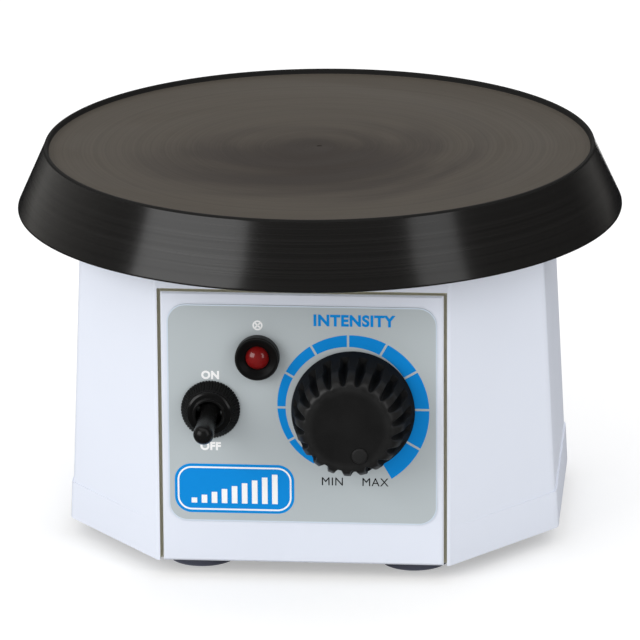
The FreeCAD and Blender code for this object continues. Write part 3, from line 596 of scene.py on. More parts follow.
def drilled(mesh, cutter):
    """A mesh with another one cut out of it."""
    body = linked("body", data_from(mesh, "body"))
    tool = linked("tool", data_from(cutter, "tool"))
    cut = body.modifiers.new("cut", "BOOLEAN")
    cut.operation = "DIFFERENCE"
    cut.solver = "EXACT"
    cut.object = tool
    shown = body.evaluated_get(bpy.context.evaluated_depsgraph_get())
    whole = added(bpy.data.meshes.new_from_object(shown), bmesh.new())
    for item in (body, tool):
        data = item.data
        bpy.data.objects.remove(item)
        bpy.data.meshes.remove(data)
    return whole


def sliced(mesh, point, normal, **options):
    """Cuts a mesh along a plane and returns the cut's points and edges."""
    geometry = [*mesh.verts, *mesh.edges, *mesh.faces]
    return bmesh.ops.bisect_plane(mesh, geom=geometry, plane_co=point, plane_no=normal, **options)["geom_cut"]


def piece(name, mesh, matrix, body, slot, replaces=(), finish=None, bend=None):
    """Puts a mesh into the scene as a piece that rides on a body, or, with bend, as a loose piece left where it
    stands.
    """
    mesh.transform(matrix)
    data = data_from(mesh, name)
    data.polygons.foreach_set("use_smooth", [True] * len(data.polygons))
    data.set_sharp_from_angle(angle=SMOOTH_ANGLE)
    data.materials.append(bpy.data.materials[finish or slot])
    made = linked(name, data)
    if bend:
        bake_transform(made)
    else:
        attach(made, body)
    if replaces:
        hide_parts(*replaces)


def printed(name, mesh, matrix, material):
    """Puts a print on the label's face; its frame lies on the panel."""
    on_film = matrix @ shift(0, 0, LABEL_FACE)
    piece(name, mesh, on_film, "base", "label_grey", finish=material)


def lettering(name, text, height, x, y, material, boldness=BOLDNESS):
    """Printed text on the label, centred on x, with its foot on y."""
    look = settings("print")
    curve = bpy.data.curves.new(name, "FONT")
    curve.body = text
    curve.align_x = "CENTER"
    curve.size = height / CAPITAL_SHARE
    curve.space_character = LETTER_SPACE
    curve.offset = boldness * height
    curve.extrude = look.ink / 2
    holder = bpy.data.objects.new(name, curve)
    mesh = added(bpy.data.meshes.new_from_object(holder), bmesh.new())
    bpy.data.objects.remove(holder)
    bpy.data.curves.remove(curve)
    printed(name, mesh, PANEL @ shift(x, y, look.ink / 2), material)


# Shader nodes

def feed(tree, made, inputs):
    """Sets a node's inputs; each is a value or the socket that feeds it."""
    for name, value in inputs.items():
        if isinstance(value, NodeSocket):
            tree.links.new(value, made.inputs[name])
        else:
            made.inputs[name].default_value = value


def node(tree, kind, inputs=None, **options):
    """Adds one shader node."""
    made = tree.nodes.new(kind)
    for name, value in options.items():
        setattr(made, name, value)
    feed(tree, made, inputs or {})
    return made


def object_place(tree):
    """The place on the object."""
    return node(tree, "ShaderNodeTexCoord").outputs["Object"]


def noise(tree, place, scale, detail):
    """Soft noise from 0 to 1."""
    inputs = {"Vector": place, "Scale": scale, "Detail": detail}
    return node(tree, "ShaderNodeTexNoise", inputs).outputs["Fac"]


def maths(tree, operation, *values):
    """A sum or comparison of numbers."""
    return node(tree, "ShaderNodeMath", dict(enumerate(values)), operation=operation).outputs[0]


def vectors(tree, operation, *values):
    """A sum of vectors, or a length or dot product."""
    made = node(tree, "ShaderNodeVectorMath", dict(enumerate(values)), operation=operation)
    return made.outputs["Value" if operation in ("LENGTH", "DOT_PRODUCT") else "Vector"]


def product(tree, *values):
    """Several values multiplied."""
    result = values[0]
    for value in values[1:]:
        result = maths(tree, "MULTIPLY", result, value)
    return result


def ranged(tree, value, low, high):
    """A 0 to 1 value spread between two others."""
    return node(tree, "ShaderNodeMapRange", {"Value": value, "To Min": low, "To Max": high}).outputs["Result"]


def faded(tree, value, start, end, **options):
    """0 where a value is at its start, 1 at its end."""
    inputs = {"Value": value, "From Min": start, "From Max": end}
    return node(tree, "ShaderNodeMapRange", inputs, **options).outputs["Result"]


def between(tree, share, first, second):
    """A value between two others."""
    return node(tree, "ShaderNodeMix", {"Factor": share, "A": first, "B": second}).outputs["Result"]


def mix(tree, share, first, second):
    """A colour between two others."""
    made = node(tree, "ShaderNodeMix", data_type="RGBA")
    sockets = {socket.identifier: socket for socket in made.inputs}
    for name, value in (("Factor_Float", share), ("A_Color", first), ("B_Color", second)):
        if isinstance(value, NodeSocket):
            tree.links.new(value, sockets[name])
        else:
            sockets[name].default_value = (*value, 1)
    return next(socket for socket in made.outputs if socket.identifier == "Result_Color")


def tinted(value, factor):
    """A colour made lighter or darker."""
    return tuple(min(1.0, channel * factor) for channel in value)


def varied(tree, share, value, dark, pale):
    """A colour that varies between a darker and a lighter tint of itself."""
    return mix(tree, share, tinted(value, dark), tinted(value, pale))


def bump(tree, shader, height, distance):
    """Feeds a height into the shader's normal; distance is its depth in metres."""
    made = node(tree, "ShaderNodeBump", {"Height": height, "Distance": distance, "Strength": 1.0})
    feed(tree, shader, {"Normal": made.outputs["Normal"]})


def seen_rays(tree):
    """1 for what the camera sees, directly, in a mirror or through glass."""
    paths = node(tree, "ShaderNodeLightPath").outputs
    seen = maths(tree, "MAXIMUM", paths["Is Camera Ray"], paths["Is Glossy Ray"])
    return maths(tree, "MAXIMUM", seen, paths["Is Transmission Ray"])


def bare_material(name):
    """A material with its Principled shader; returns the material, its tree and the shader."""
    material = bpy.data.materials.get(name) or bpy.data.materials.new(name)
    material.use_nodes = True
    tree = material.node_tree
    tree.nodes.clear()
    shader = tree.nodes.new("ShaderNodeBsdfPrincipled")
    node(tree, "ShaderNodeOutputMaterial", {"Surface": shader.outputs["BSDF"]})
    return material, tree, shader


# Effects that several finishes share

def effect(name, inputs, outputs):
    """An empty node group of floats; returns its tree, what it is given and its output node."""
    tree = bpy.data.node_groups.new(name, "ShaderNodeTree")
    for label, default in inputs.items():
        given = tree.interface.new_socket(label, in_out="INPUT", socket_type="NodeSocketFloat")
        given.default_value = default
    for label in outputs:
        tree.interface.new_socket(label, in_out="OUTPUT", socket_type="NodeSocketFloat")
    return tree, tree.nodes.new("NodeGroupInput").outputs, tree.nodes.new("NodeGroupOutput")


def moulded_skin():
    """Fine moulded grain, and a slow drift in tone from handling."""
    tree, given, out = effect("Moulded skin", {"Grain": 900.0, "Drift": 25.0}, ("Height", "Tone"))
    place = object_place(tree)
    drift = noise(tree, place, given["Drift"], 4.0)
    grain = noise(tree, place, given["Grain"], 3.0)
    feed(tree, out, {"Height": grain, "Tone": faded(tree, drift, *NOISE_RANGE)})
    return tree


def worn_edges():
    """A mask of the piece's outer edges."""
    tree, given, out = effect("Worn edges", {"Width": ROUND_EDGE}, ("Mask",))
    surface = node(tree, "ShaderNodeNewGeometry").outputs["Normal"]
    eased = node(tree, "ShaderNodeBevel", {"Radius": given["Width"]}, samples=4).outputs["Normal"]
    likeness = vectors(tree, "DOT_PRODUCT", surface, eased)
    feed(tree, out, {"Mask": faded(tree, likeness, *EDGE_LIKENESS)})
    return tree


def turning_marks():
    """Rings about the Z axis, as a lathe or a mould leaves them, and smears that follow them."""
    tree, given, out = effect("Turning marks", {"Pitch": 2500.0, "Smear": 60.0}, ("Rings", "Smears"))
    place = object_place(tree)
    height = node(tree, "ShaderNodeSeparateXYZ", {0: place}).outputs["Z"]
    reach = vectors(tree, "LENGTH", vectors(tree, "MULTIPLY", place, LEVEL))
    along = node(tree, "ShaderNodeCombineXYZ", {"X": reach, "Z": height}).outputs[0]
    mixed = vectors(tree, "ADD", vectors(tree, "MULTIPLY", place, SWIRL), along)
    rings = noise(tree, along, given["Pitch"], 2.0)
    smears = noise(tree, mixed, given["Smear"], 5.0)
    feed(tree, out, {"Rings": rings, "Smears": smears})
    return tree


def seam_shade():
    """A mask of the walls in the narrow gap round the front panel, where shade is painted in."""
    tree, given, out = effect("Seam shade", {"Start": EASED_EDGE, "Full": 0.9 * MM}, ("Mask",))
    place = object_place(tree)
    inward = vectors(tree, "DOT_PRODUCT", vectors(tree, "SUBTRACT", place, PANEL.translation), -OUTWARD)
    deep = faded(tree, inward, given["Start"], given["Full"])
    near = maths(tree, "LESS_THAN", inward, SEAM_REACH)
    across = maths(tree, "ABSOLUTE", node(tree, "ShaderNodeSeparateXYZ", {0: place}).outputs["X"])
    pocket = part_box("front_panel")[1].x + SEAM_WIDTH
    inside = maths(tree, "LESS_THAN", across, pocket)
    feed(tree, out, {"Mask": product(tree, deep, near, inside)})
    return tree


EFFECTS = {
    "Moulded skin": moulded_skin,
    "Worn edges": worn_edges,
    "Turning marks": turning_marks,
    "Seam shade": seam_shade,
}


def use(tree, name, **values):
    """Places a shared effect in a material with its own values."""
    group = bpy.data.node_groups.get(name) or EFFECTS[name]()
    return node(tree, "ShaderNodeGroup", values, node_tree=group).outputs


# Finishes

def moulded(name, value, roughness, grain=900.0, depth=0.01 * MM, drift=25.0, spread=0.06, wear=0.12,
            edge=SOFT_EDGE, metallic=0.0, specular=0.5, seam=None):
    """A moulded or coated finish: grain, slow drift in tone, lighter edges and, if asked for, painted shade in a
    gap.
    """
    material, tree, shader = bare_material(name)
    skin = use(tree, "Moulded skin", Grain=grain, Drift=drift)
    edges = use(tree, "Worn edges", Width=edge)
    body = varied(tree, skin["Tone"], value, 1 - spread, 1 + spread)
    body = mix(tree, ranged(tree, edges["Mask"], 0.0, wear), body, WORN_GREY)
    # Painted shade on the walls of the gap round the panel
    if seam:
        body = mix(tree, use(tree, "Seam shade")["Mask"], body, seam)
    bump(tree, shader, skin["Height"], depth)
    feed(tree, shader, {
        "Base Color": body,
        "Roughness": ranged(tree, skin["Tone"], roughness - ROUGH_DRIFT, roughness + ROUGH_DRIFT),
        "Metallic": metallic,
        "Specular IOR Level": specular,
    })
    return material


def table_rubber():
    """Black moulded rubber: a matte, smeared face whose tone is dust, wear and painted sheen, a matte rim and a
    glossier skirt with fine mould rings.
    """
    finish = settings("finish")
    table = settings("table")
    material, tree, shader = bare_material("table_rubber")
    marks = use(tree, "Turning marks", Pitch=1900.0, Smear=55.0)
    skin = use(tree, "Moulded skin", Grain=1500.0, Drift=22.0)
    rings = marks["Rings"]
    streak = faded(tree, rings, *NOISE_RANGE)
    smear = faded(tree, marks["Smears"], *SMEAR_RANGE)

    place = object_place(tree)
    height = node(tree, "ShaderNodeSeparateXYZ", {0: place}).outputs["Z"]
    flat = vectors(tree, "MULTIPLY", place, LEVEL)
    reach = vectors(tree, "LENGTH", flat)
    inner = table.rim_radius - table.lip_width
    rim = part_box("rubber_table_cover")[1].z
    inside = maths(tree, "LESS_THAN", reach, inner - SOFT_EDGE)
    high = maths(tree, "GREATER_THAN", height, rim - 2 * table.lip_height)
    top = product(tree, inside, high)
    side = maths(tree, "GREATER_THAN", reach, table.rim_radius + table.rim_flare)

    # Painted sheen with dust and wear: the face's tone is darkest a little in front of the middle and paler
    # outward
    aside = vectors(tree, "ADD", flat, (0, table.dark_shift, 0))
    away = maths(tree, "ADD", vectors(tree, "LENGTH", aside), product(tree, smear, table.dark_spread))
    outward = faded(tree, away, DARK_SHARE * inner, inner, interpolation_type="SMOOTHSTEP")
    dark = mix(tree, outward, tinted(finish.rubber_middle, 0.9), tinted(finish.rubber_dust_and_sheen, 0.88))
    pale = mix(tree, outward, tinted(finish.rubber_middle, 1.1), tinted(finish.rubber_dust_and_sheen, 1.08))
    skirt = varied(tree, rings, finish.rubber_skirt, 0.6, 1.5)

    side_rough = between(tree, side, RIM_ROUGH, ranged(tree, rings, *SKIRT_ROUGH))
    gloss = product(tree, ranged(tree, streak, *SKIRT_GLOSS), side)
    bump(tree, shader, between(tree, top, rings, skin["Height"]), 0.015 * MM)
    feed(tree, shader, {
        "Base Color": mix(tree, top, skirt, mix(tree, streak, dark, pale)),
        "Roughness": between(tree, top, side_rough, ranged(tree, smear, *FACE_ROUGH)),
        "Coat Weight": between(tree, top, gloss, 0.0),
        "Coat Roughness": SKIRT_COAT,
        "Specular IOR Level": 0.2,
    })
    return material


def label_film():
    """Satin grey film with a faint grain."""
    return moulded("label_grey", settings("finish").label, 0.55, grain=2200.0, depth=0.003 * MM, drift=18.0,
                   spread=0.012, wear=0.0, specular=0.2)


def housing_white(name, roughness):
    """Cool white moulding, with painted shade in the gap round the panel."""
    finish = settings("finish")
    return moulded(name, finish.housing, roughness, grain=1300.0, depth=0.008 * MM, drift=14.0, spread=0.012,
                   wear=0.06, edge=FULL_EDGE, specular=0.3, seam=finish.seam)


def ink(name):
    """Screen-printed ink."""
    return moulded(name, getattr(settings("finish"), name), 0.6, grain=2600.0, depth=0.003 * MM, drift=60.0,
                   spread=0.03, wear=0.0, specular=0.05)


def black_plastic(name, value, roughness, specular=0.3, grain=1600.0, depth=0.008 * MM):
    """Black moulding with polished edges."""
    return moulded(name, value, roughness, grain=grain, depth=depth, drift=90.0, spread=0.25, wear=0.03,
                   edge=EASED_EDGE, specular=specular)


def knob_plastic():
    """Matte black: painted shade darkens the grooves; where the ridges meet the face, a lighter grey of painted
    sheen and handling wear, polished by hands.
    """
    knob = settings("knob")
    finish = settings("finish")
    material = black_plastic("knob_black", finish.knob, MATTE, 0.12, grain=800.0, depth=0.07 * MM)
    tree = material.node_tree
    shader = tree.nodes["Principled BSDF"]
    offset = vectors(tree, "SUBTRACT", object_place(tree), PANEL.translation)
    height = vectors(tree, "DOT_PRODUCT", offset, OUTWARD)
    reach = vectors(tree, "LENGTH", vectors(tree, "CROSS_PRODUCT", offset, OUTWARD))

    # Depth under the ridges, whose shoulder is a quarter of an ellipse
    climb = faded(tree, height, knob.shoulder_low, knob.height)
    curve = maths(tree, "SQRT", maths(tree, "SUBTRACT", 1.0, product(tree, climb, climb)))
    depth = maths(tree, "SUBTRACT", ranged(tree, curve, knob.face_radius, knob.shoulder_radius), reach)

    handled = faded(tree, depth, *HANDLED_DEPTH)
    raised = faded(tree, height, *HANDLED_RISE)
    below = faded(tree, height, knob.height + FACE_OVER, knob.height - FACE_UNDER)
    # Painted shade: the grooves are darkened towards the deeper black
    deep = product(tree, ranged(tree, handled, 1.0, 0.0), faded(tree, height, *GROOVE_RISE))
    blotch = use(tree, "Moulded skin", Grain=800.0, Drift=420.0)["Tone"]
    # Painted sheen with handling wear: a lighter ring on the ridges next to the face
    greyed = product(tree, faded(tree, depth, *GREYED_DEPTH), raised, ranged(tree, blotch, 0.35, 1.0))
    body = mix(tree, deep, shader.inputs["Base Color"].links[0].from_socket, finish.groove)
    feed(tree, shader, {
        "Base Color": mix(tree, greyed, body, finish.handled),
        "Coat Weight": ranged(tree, product(tree, handled, raised, below), 0.0, 0.6),
        "Coat Roughness": POLISHED,
    })
    return material


def metal(name, value, roughness):
    """Plated, turned or rolled metal with fine rings."""
    material, tree, shader = bare_material(name)
    marks = use(tree, "Turning marks", Pitch=2500.0, Smear=120.0)
    edges = use(tree, "Worn edges", Width=EASED_EDGE)
    body = varied(tree, marks["Smears"], value, 0.8, 1.15)
    bump(tree, shader, marks["Rings"], 0.004 * MM)
    feed(tree, shader, {
        "Base Color": mix(tree, ranged(tree, edges["Mask"], 0.0, 0.3), body, BRIGHT_METAL),
        "Roughness": ranged(tree, marks["Smears"], roughness - METAL_DRIFT, roughness + METAL_DRIFT),
        "Metallic": 1.0,
    })
    return material


def lens_red():
    """Deep red translucent plastic, smooth, under a clear polish."""
    material, tree, shader = bare_material("lens_red")
    tone = use(tree, "Moulded skin", Grain=700.0, Drift=250.0)["Tone"]
    feed(tree, shader, {
        "Base Color": varied(tree, tone, settings("finish").lens, 0.85, 1.15),
        "Roughness": ranged(tree, tone, 0.30, 0.40),
        "Specular IOR Level": 0.2,
        "Coat Weight": 1.0,
        "Coat Roughness": 0.05,
        "Coat IOR": 1.55,
    })
    return material


def bulb_glass():
    """Clear glass of the small neon bulb, faintly clouded."""
    material, tree, shader = bare_material("bulb_glass")
    tone = use(tree, "Moulded skin", Grain=900.0, Drift=300.0)["Tone"]
    feed(tree, shader, {
        "Base Color": mix(tree, tone, CLOUDED_GLASS, CLEAR_GLASS),
        "Roughness": ranged(tree, tone, 0.02, 0.08),
        "Transmission Weight": 0.9,
    })
    return material


def make_finishes():
    """Every finish, under the record's slot or its own name."""
    finish = settings("finish")
    made = [
        housing_white("housing_white", 0.42),
        housing_white("panel_white", 0.38),
        label_film(),
        table_rubber(),
        moulded("foot_rubber", finish.foot, 0.6, grain=1200.0, drift=40.0, spread=0.15),
        knob_plastic(),
        black_plastic("dot_black", finish.dot, 0.42),
        black_plastic("switch_black", finish.black, 0.18, 0.32),
        black_plastic("lever_black", tinted(finish.black, 1.3), 0.24, 0.27),
        black_plastic("nut_black", finish.black, 0.5, 0.07),
        black_plastic("lamp_black", finish.black, 0.42, 0.12),
        black_plastic("component_black", finish.black, 0.5),
        lens_red(),
        bulb_glass(),
        moulded("base_steel", (0.30, 0.31, 0.33), 0.5, grain=700.0, depth=0.02 * MM),
        moulded("core_steel", (0.10, 0.10, 0.11), 0.4, grain=300.0, wear=0.3, metallic=0.6),
        moulded("bobbin_plastic", (0.70, 0.66, 0.54), 0.5),
        moulded("board_green", (0.03, 0.16, 0.06), 0.35, drift=60.0, spread=0.2),
        moulded("capacitor_yellow", (0.62, 0.40, 0.06), 0.4),
        metal("zinc_screws", (0.60, 0.60, 0.57), 0.3),
        metal("plated_steel", (0.58, 0.59, 0.60), 0.33),
        metal("spring_steel", (0.26, 0.27, 0.31), 0.3),
        metal("hub_aluminium", (0.72, 0.73, 0.74), 0.3),
        metal("copper_wire", (0.62, 0.26, 0.11), 0.28),
        metal("bushing_brass", (0.70, 0.60, 0.40), 0.3),
    ]
    made += [ink(name) for name in ("ink_blue", "ink_white", "ink_pale", "ink_black")]
    return {material.name: material for material in made}


# Operators

class VIBRATOR_OT_finishes(Operator):
    """Make every finish and give it to the CAD nodes"""
    bl_idname = "vibrator.finishes"
    bl_label = "Finishes"

    def execute(self, context):
        made = make_finishes()
        for part in frame["record"]["subparts"]:
            data = frame["nodes"][part["node"]].data
            data.materials.clear()
            data.materials.append(made[part["material_slot"]])
        return {"FINISHED"}


class VIBRATOR_OT_table_cover(Operator):
    """Turn the rubber table cover with its rim and skirt"""
    bl_idname = "vibrator.table_cover"
    bl_label = "Table Cover"

    def execute(self, context):
        table = settings("table")
        low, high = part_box("rubber_table_cover")
        plate_low, plate_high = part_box("table_plate")
        face = high.z - table.lip_height
        inner = table.rim_radius - table.lip_width
        grip = plate_high.x - GRIP_WIDTH
        grip_low = plate_low.z - GRIP_DEPTH
        corners = [
            (0, face - table.dimple_depth, 0),
            (table.dimple_radius, face - table.dimple_depth, HAIR_EDGE),
            (table.dimple_radius, face, HAIR_EDGE),
            (inner - SOFT_EDGE, face, ROUND_EDGE),
            (inner, high.z, RIM_EDGE),
            (table.rim_radius, high.z, RIM_EDGE),
            (table.rim_radius + table.rim_flare, high.z - table.rim_band, EASED_EDGE),
            (high.x, low.z + HEM_SLANT, HEM_EDGE),
            (high.x - table.wall, low.z, HEM_EDGE),
            (plate_high.x + GRIP_WALL, grip_low, ROUND_EDGE),
            (grip, grip_low, ROUND_EDGE),
            (grip, plate_low.z, 0),
            (plate_high.x + PLATE_GAP, plate_low.z, 0),
            (plate_high.x + PLATE_GAP, plate_high.z, 0),
            (0, plate_high.z, 0),
        ]
        outline = straight(rounded(corners, closed=False), TABLE_STEP)
        piece("table_cover", turned(outline, table.segments), Matrix(), "table", "table_rubber",
              ["rubber_table_cover"])
        return {"FINISHED"}


class VIBRATOR_OT_panel_print(Operator):
    """Print the dial scale, the words, the lamp sign, the level badge and the border on the label"""
    bl_idname = "vibrator.panel_print"
    bl_label = "Panel Print"

    def execute(self, context):
        look = settings("print")
        self.scale(look)
        height = span("panel_label").z / math.cos(LEAN)
        border = outlined(span("panel_label").x, height, look.border_radius, look.border)
        printed("label_border", border, LABEL, "ink_pale")
        self.words(look)
        self.lamp_sign(look)
        self.badge(look)
        return {"FINISHED"}

    def scale(self, look):
        """The segments of the dial scale, wider and further out as they go clockwise."""
        step = look.scale_sweep / look.scale_count
        starts = [look.scale_start - index * step for index in range(look.scale_count)]
        loops = [self.segment(look, start, start - step) for start in starts]
        printed("dial_scale", plate(loops, look.ink), PANEL @ shift(look.scale_x, look.scale_y), "ink_blue")

    def segment(self, look, start, end):
        """One segment's outline, with half a gap left at each end."""
        outer, inner = [], []
        for index in range(ARC_STEPS + 1):
            share = index / ARC_STEPS
            done = (look.scale_start - start - (end - start) * share) / look.scale_sweep
            reach = look.scale_start_radius + (look.scale_end_radius - look.scale_start_radius) * done
            width = look.scale_start_width + (look.scale_end_width - look.scale_start_width) * done
            for radius, points in ((reach, outer), (reach - width, inner)):
                inset = look.scale_gap / 2 / radius
                angle = start - inset + (end - start + 2 * inset) * share
                points.append((radius * math.cos(angle), radius * math.sin(angle)))
        return outer + inner[::-1]

    def words(self, look):
        """ON over the switch and OFF under it, the heading over the dial and its two ends."""
        off_x = PIVOT.x + look.off_x
        small, tall = look.switch_height, look.word_height
        lettering("on_mark", "ON", small, PIVOT.x, PIVOT.y + look.on_y, "ink_white", HEAVY_BOLDNESS)
        lettering("off_mark", "OFF", small, off_x, PIVOT.y + look.off_y, "ink_white", HEAVY_BOLDNESS)
        heading = look.heading_height
        lettering("dial_heading", "INTENSITY", heading, look.heading_x, look.heading_y, "ink_blue")
        lettering("low_mark", "MIN", tall, -look.ends_x, look.ends_y, "ink_black", FINE_BOLDNESS)
        lettering("high_mark", "MAX", tall, look.ends_x, look.ends_y, "ink_black", FINE_BOLDNESS)

    def lamp_sign(self, look):
        """The common sign for a lamp, a ring with a cross in it."""
        reach = look.sign_radius
        ring = outlined(2 * reach, 2 * reach, reach, look.sign_line)
        half = look.sign_line / 2
        bars = []
        for angle in (math.pi / 4, -math.pi / 4):
            along = Vector((math.cos(angle), math.sin(angle))) * (reach - half)
            across = Vector((-math.sin(angle), math.cos(angle))) * half
            bars.append([along + across, -along + across, -along - across, along - across])
        printed("lamp_sign", joined([ring, plate(bars, look.ink)]), LAMP @ shift(0, look.sign_y), "ink_white")

    def badge(self, look):
        """A blue field with a white line and rising level bars."""
        spot = PANEL @ shift(look.badge_x, look.badge_y)
        field = rounded_rectangle(look.badge_width, look.badge_height, look.badge_radius)
        printed("level_field", plate([field], look.ink), spot, "ink_blue")
        inset = 2 * look.badge_inset
        line = outlined(look.badge_width - inset, look.badge_height - inset,
                        look.badge_radius - look.badge_inset, look.badge_line)
        half = look.bar_width / 2
        foot = -look.bar_high / 2
        last = look.bar_count - 1
        bars = []
        for index in range(look.bar_count):
            x = (index - last / 2) * look.bar_pitch
            top = foot + look.bar_low + (look.bar_high - look.bar_low) * index / last
            bars.append([(x - half, foot), (x + half, foot), (x + half, top), (x - half, top)])
        white = joined([line, plate(bars, look.ink)])
        printed("level_bars", white, spot @ shift(0, 0, look.ink), "ink_white")


class VIBRATOR_OT_control_knob(Operator):
    """Mould the fluted control knob with its pointer dot"""
    bl_idname = "vibrator.control_knob"
    bl_label = "Control Knob"

    def execute(self, context):
        knob = settings("knob")
        lower = rounded([
            (SHAFT_RADIUS, SHAFT_HIGH, 0),
            (SHAFT_RADIUS, HOLLOW_HIGH, 0),
            (HOLLOW_RADIUS, HOLLOW_HIGH, 0),
            (HOLLOW_RADIUS, knob.flange_low, KNOB_EDGE),
            (knob.flange_radius, knob.flange_low, KNOB_EDGE),
            (knob.flange_radius, knob.flange_high, KNOB_EDGE),
            (knob.grip_radius, knob.grip_low, 0),
            (knob.shoulder_radius, knob.shoulder_low, 0),
        ], closed=False)
        reach = (knob.shoulder_radius - knob.face_radius, knob.height - knob.shoulder_low)
        shoulder = arc((knob.face_radius, knob.shoulder_low), reach, 0, math.pi / 2)[1:-1]
        face = [Vector((knob.face_radius, knob.height)), Vector((0, knob.height))]
        outline = [Vector((0, SHAFT_HIGH))] + straight(lower, GRIP_STEP)
        outline += shoulder + straight(face, FACE_STEP)
        grip = drilled(turned(outline, knob.flutes * FLUTE_STEPS, self.fluted), self.screw_way(knob))
        piece("knob_grip", grip, PANEL, "knob", "knob_black", ["control_knob"])
        piece("knob_dot", self.dot(knob), PANEL, "knob", "knob_black", finish="dot_black")
        return {"FINISHED"}

    def dot(self, knob):
        """The raised dot that points at the scale."""
        mesh = turned(rounded([
            (0, knob.dot_height, 0),
            (knob.dot_radius, knob.dot_height, DOT_EDGE),
            (knob.dot_radius, -DOT_FOOT, 0),
            (0, -DOT_FOOT, 0),
        ], closed=False), DOT_SIDES)
        x = knob.dot_offset * math.cos(knob.dot_angle)
        y = knob.dot_offset * math.sin(knob.dot_angle)
        mesh.transform(shift(x, y, knob.height))
        return mesh

    def screw_way(self, knob):
        """A rod along the set screw's hole, from the shaft's hole out through the grip under the dot."""
        far = knob.flange_radius
        ends = [(0, 0), (SET_SCREW_RADIUS, 0), (SET_SCREW_RADIUS, far), (0, far)]
        mesh = turned(ends, SCREW_SIDES)
        aim = Vector((math.cos(knob.dot_angle), math.sin(knob.dot_angle), 0)).to_track_quat("Z", "Y")
        mesh.transform(shift(0, 0, SET_SCREW_RISE) @ aim.to_matrix().to_4x4())
        return mesh

    def fluted(self, angle, radius, height):
        """The knob's reach at an angle, with the grooves taken off it."""
        knob = settings("knob")
        if height < knob.grip_low or radius < knob.face_radius:
            return radius
        pitch = 2 * math.pi / knob.flutes
        aside = (angle - knob.flute_phase + pitch / 2) % pitch - pitch / 2
        run = (height - knob.grip_low) / (knob.height - knob.grip_low)
        floor = knob.flute_root + (knob.flute_front - knob.flute_root) * run
        floor += knob.flute_depth * (radius * math.sin(aside) / knob.flute_half) ** 2
        depth = softened(radius - floor, knob.ridge_round)
        return radius - depth * eased(height, knob.grip_low, knob.grip_low + knob.flute_end)


def softened(depth, rounding):
    """A cut's depth, 0 where it is negative, with a smooth bend between."""
    if depth <= -rounding:
        return 0.0
    if depth >= rounding:
        return depth
    return (depth + rounding) ** 2 / (4 * rounding)


def eased(value, low, high):
    """0 below a range, 1 above it and a smooth step between."""
    share = min(1.0, max(0.0, (value - low) / (high - low)))
    return share * share * (3 - 2 * share)


class VIBRATOR_OT_toggle_switch(Operator):
    """Turn the switch's dress nut, bushing and lever"""
    bl_idname = "vibrator.toggle_switch"
    bl_label = "Toggle Switch"

    def execute(self, context):
        part = settings("switch")
        axis = TOGGLE @ shift(0, 0, -PIVOT.z)
        nut = turned(self.nut(part), part.knurls * KNURL_STEPS, self.knurled)
        piece("toggle_ring", nut, axis, "base", "switch_black", ["toggle_dress_nut"], "nut_black")
        collar = turned(self.bushing(part), ROUND_SIDES)
        piece("toggle_collar", collar, axis, "base", "switch_black", ["toggle_bushing"])
        bat = turned(self.lever(part), SMALL_SIDES)
        lean = TOGGLE @ Matrix.Rotation(part.tilt, 4, "X")
        piece("toggle_bat", bat, lean, "toggle", "switch_black", ["toggle_lever"], "lever_black")
        return {"FINISHED"}

    def nut(self, part):
        """The dress nut's outline, with a cone that the knurl runs over."""
        return rounded([
            (THREAD_RADIUS, LABEL_FACE, 0),
            (part.nut_radius, LABEL_FACE, FINE_EDGE),
            (part.nut_radius, part.nut_wall, SOFT_EDGE),
            (part.nut_front, part.nut_high, CRISP_EDGE),
            (THREAD_RADIUS, part.nut_high, 0),
        ])

    def knurled(self, angle, radius, height):
        """The nut's reach at an angle, with the notches taken off it."""
        part = settings("switch")
        if radius < part.nut_front:
            return radius
        wave = abs((angle * part.knurls / (2 * math.pi)) % 1 - 0.5) * 2
        return radius - part.knurl_depth * max(0.0, 1 - 2 * wave)

    def bushing(self, part):
        """The threaded bushing's outline, with its narrower nose."""
        return rounded([
            (part.bore_radius, BUSHING_LOW, 0),
            (part.bushing_radius, BUSHING_LOW, 0),
            (part.bushing_radius, part.bushing_high - CHAMFER_RISE, SHARP_EDGE),
            (part.bushing_radius - CHAMFER_WIDTH, part.bushing_high, SHARP_EDGE),
            (part.nose_radius, part.bushing_high, CRISP_EDGE),
            (part.nose_radius, part.nose_high, EASED_EDGE),
            (part.bore_radius, part.nose_high, EASED_EDGE),
        ])

    def lever(self, part):
        """The lever's outline: tail, ball and a bat that ends in a round tip."""
        first = math.asin(TAIL_RADIUS / BALL_RADIUS) - math.pi / 2
        last = math.pi / 2 - math.asin(part.lever_neck / BALL_RADIUS)
        tail = [Vector((0, -TAIL_LENGTH)), Vector((TAIL_RADIUS, -TAIL_LENGTH))]
        ball = arc((0, 0), (BALL_RADIUS, BALL_RADIUS), first, last)
        round_tip = (part.lever_tip, part.lever_tip)
        tip = arc((0, part.lever_length - part.lever_tip), round_tip, 0, math.pi / 2)
        return straight(tail + ball + tip, LEVER_STEP)


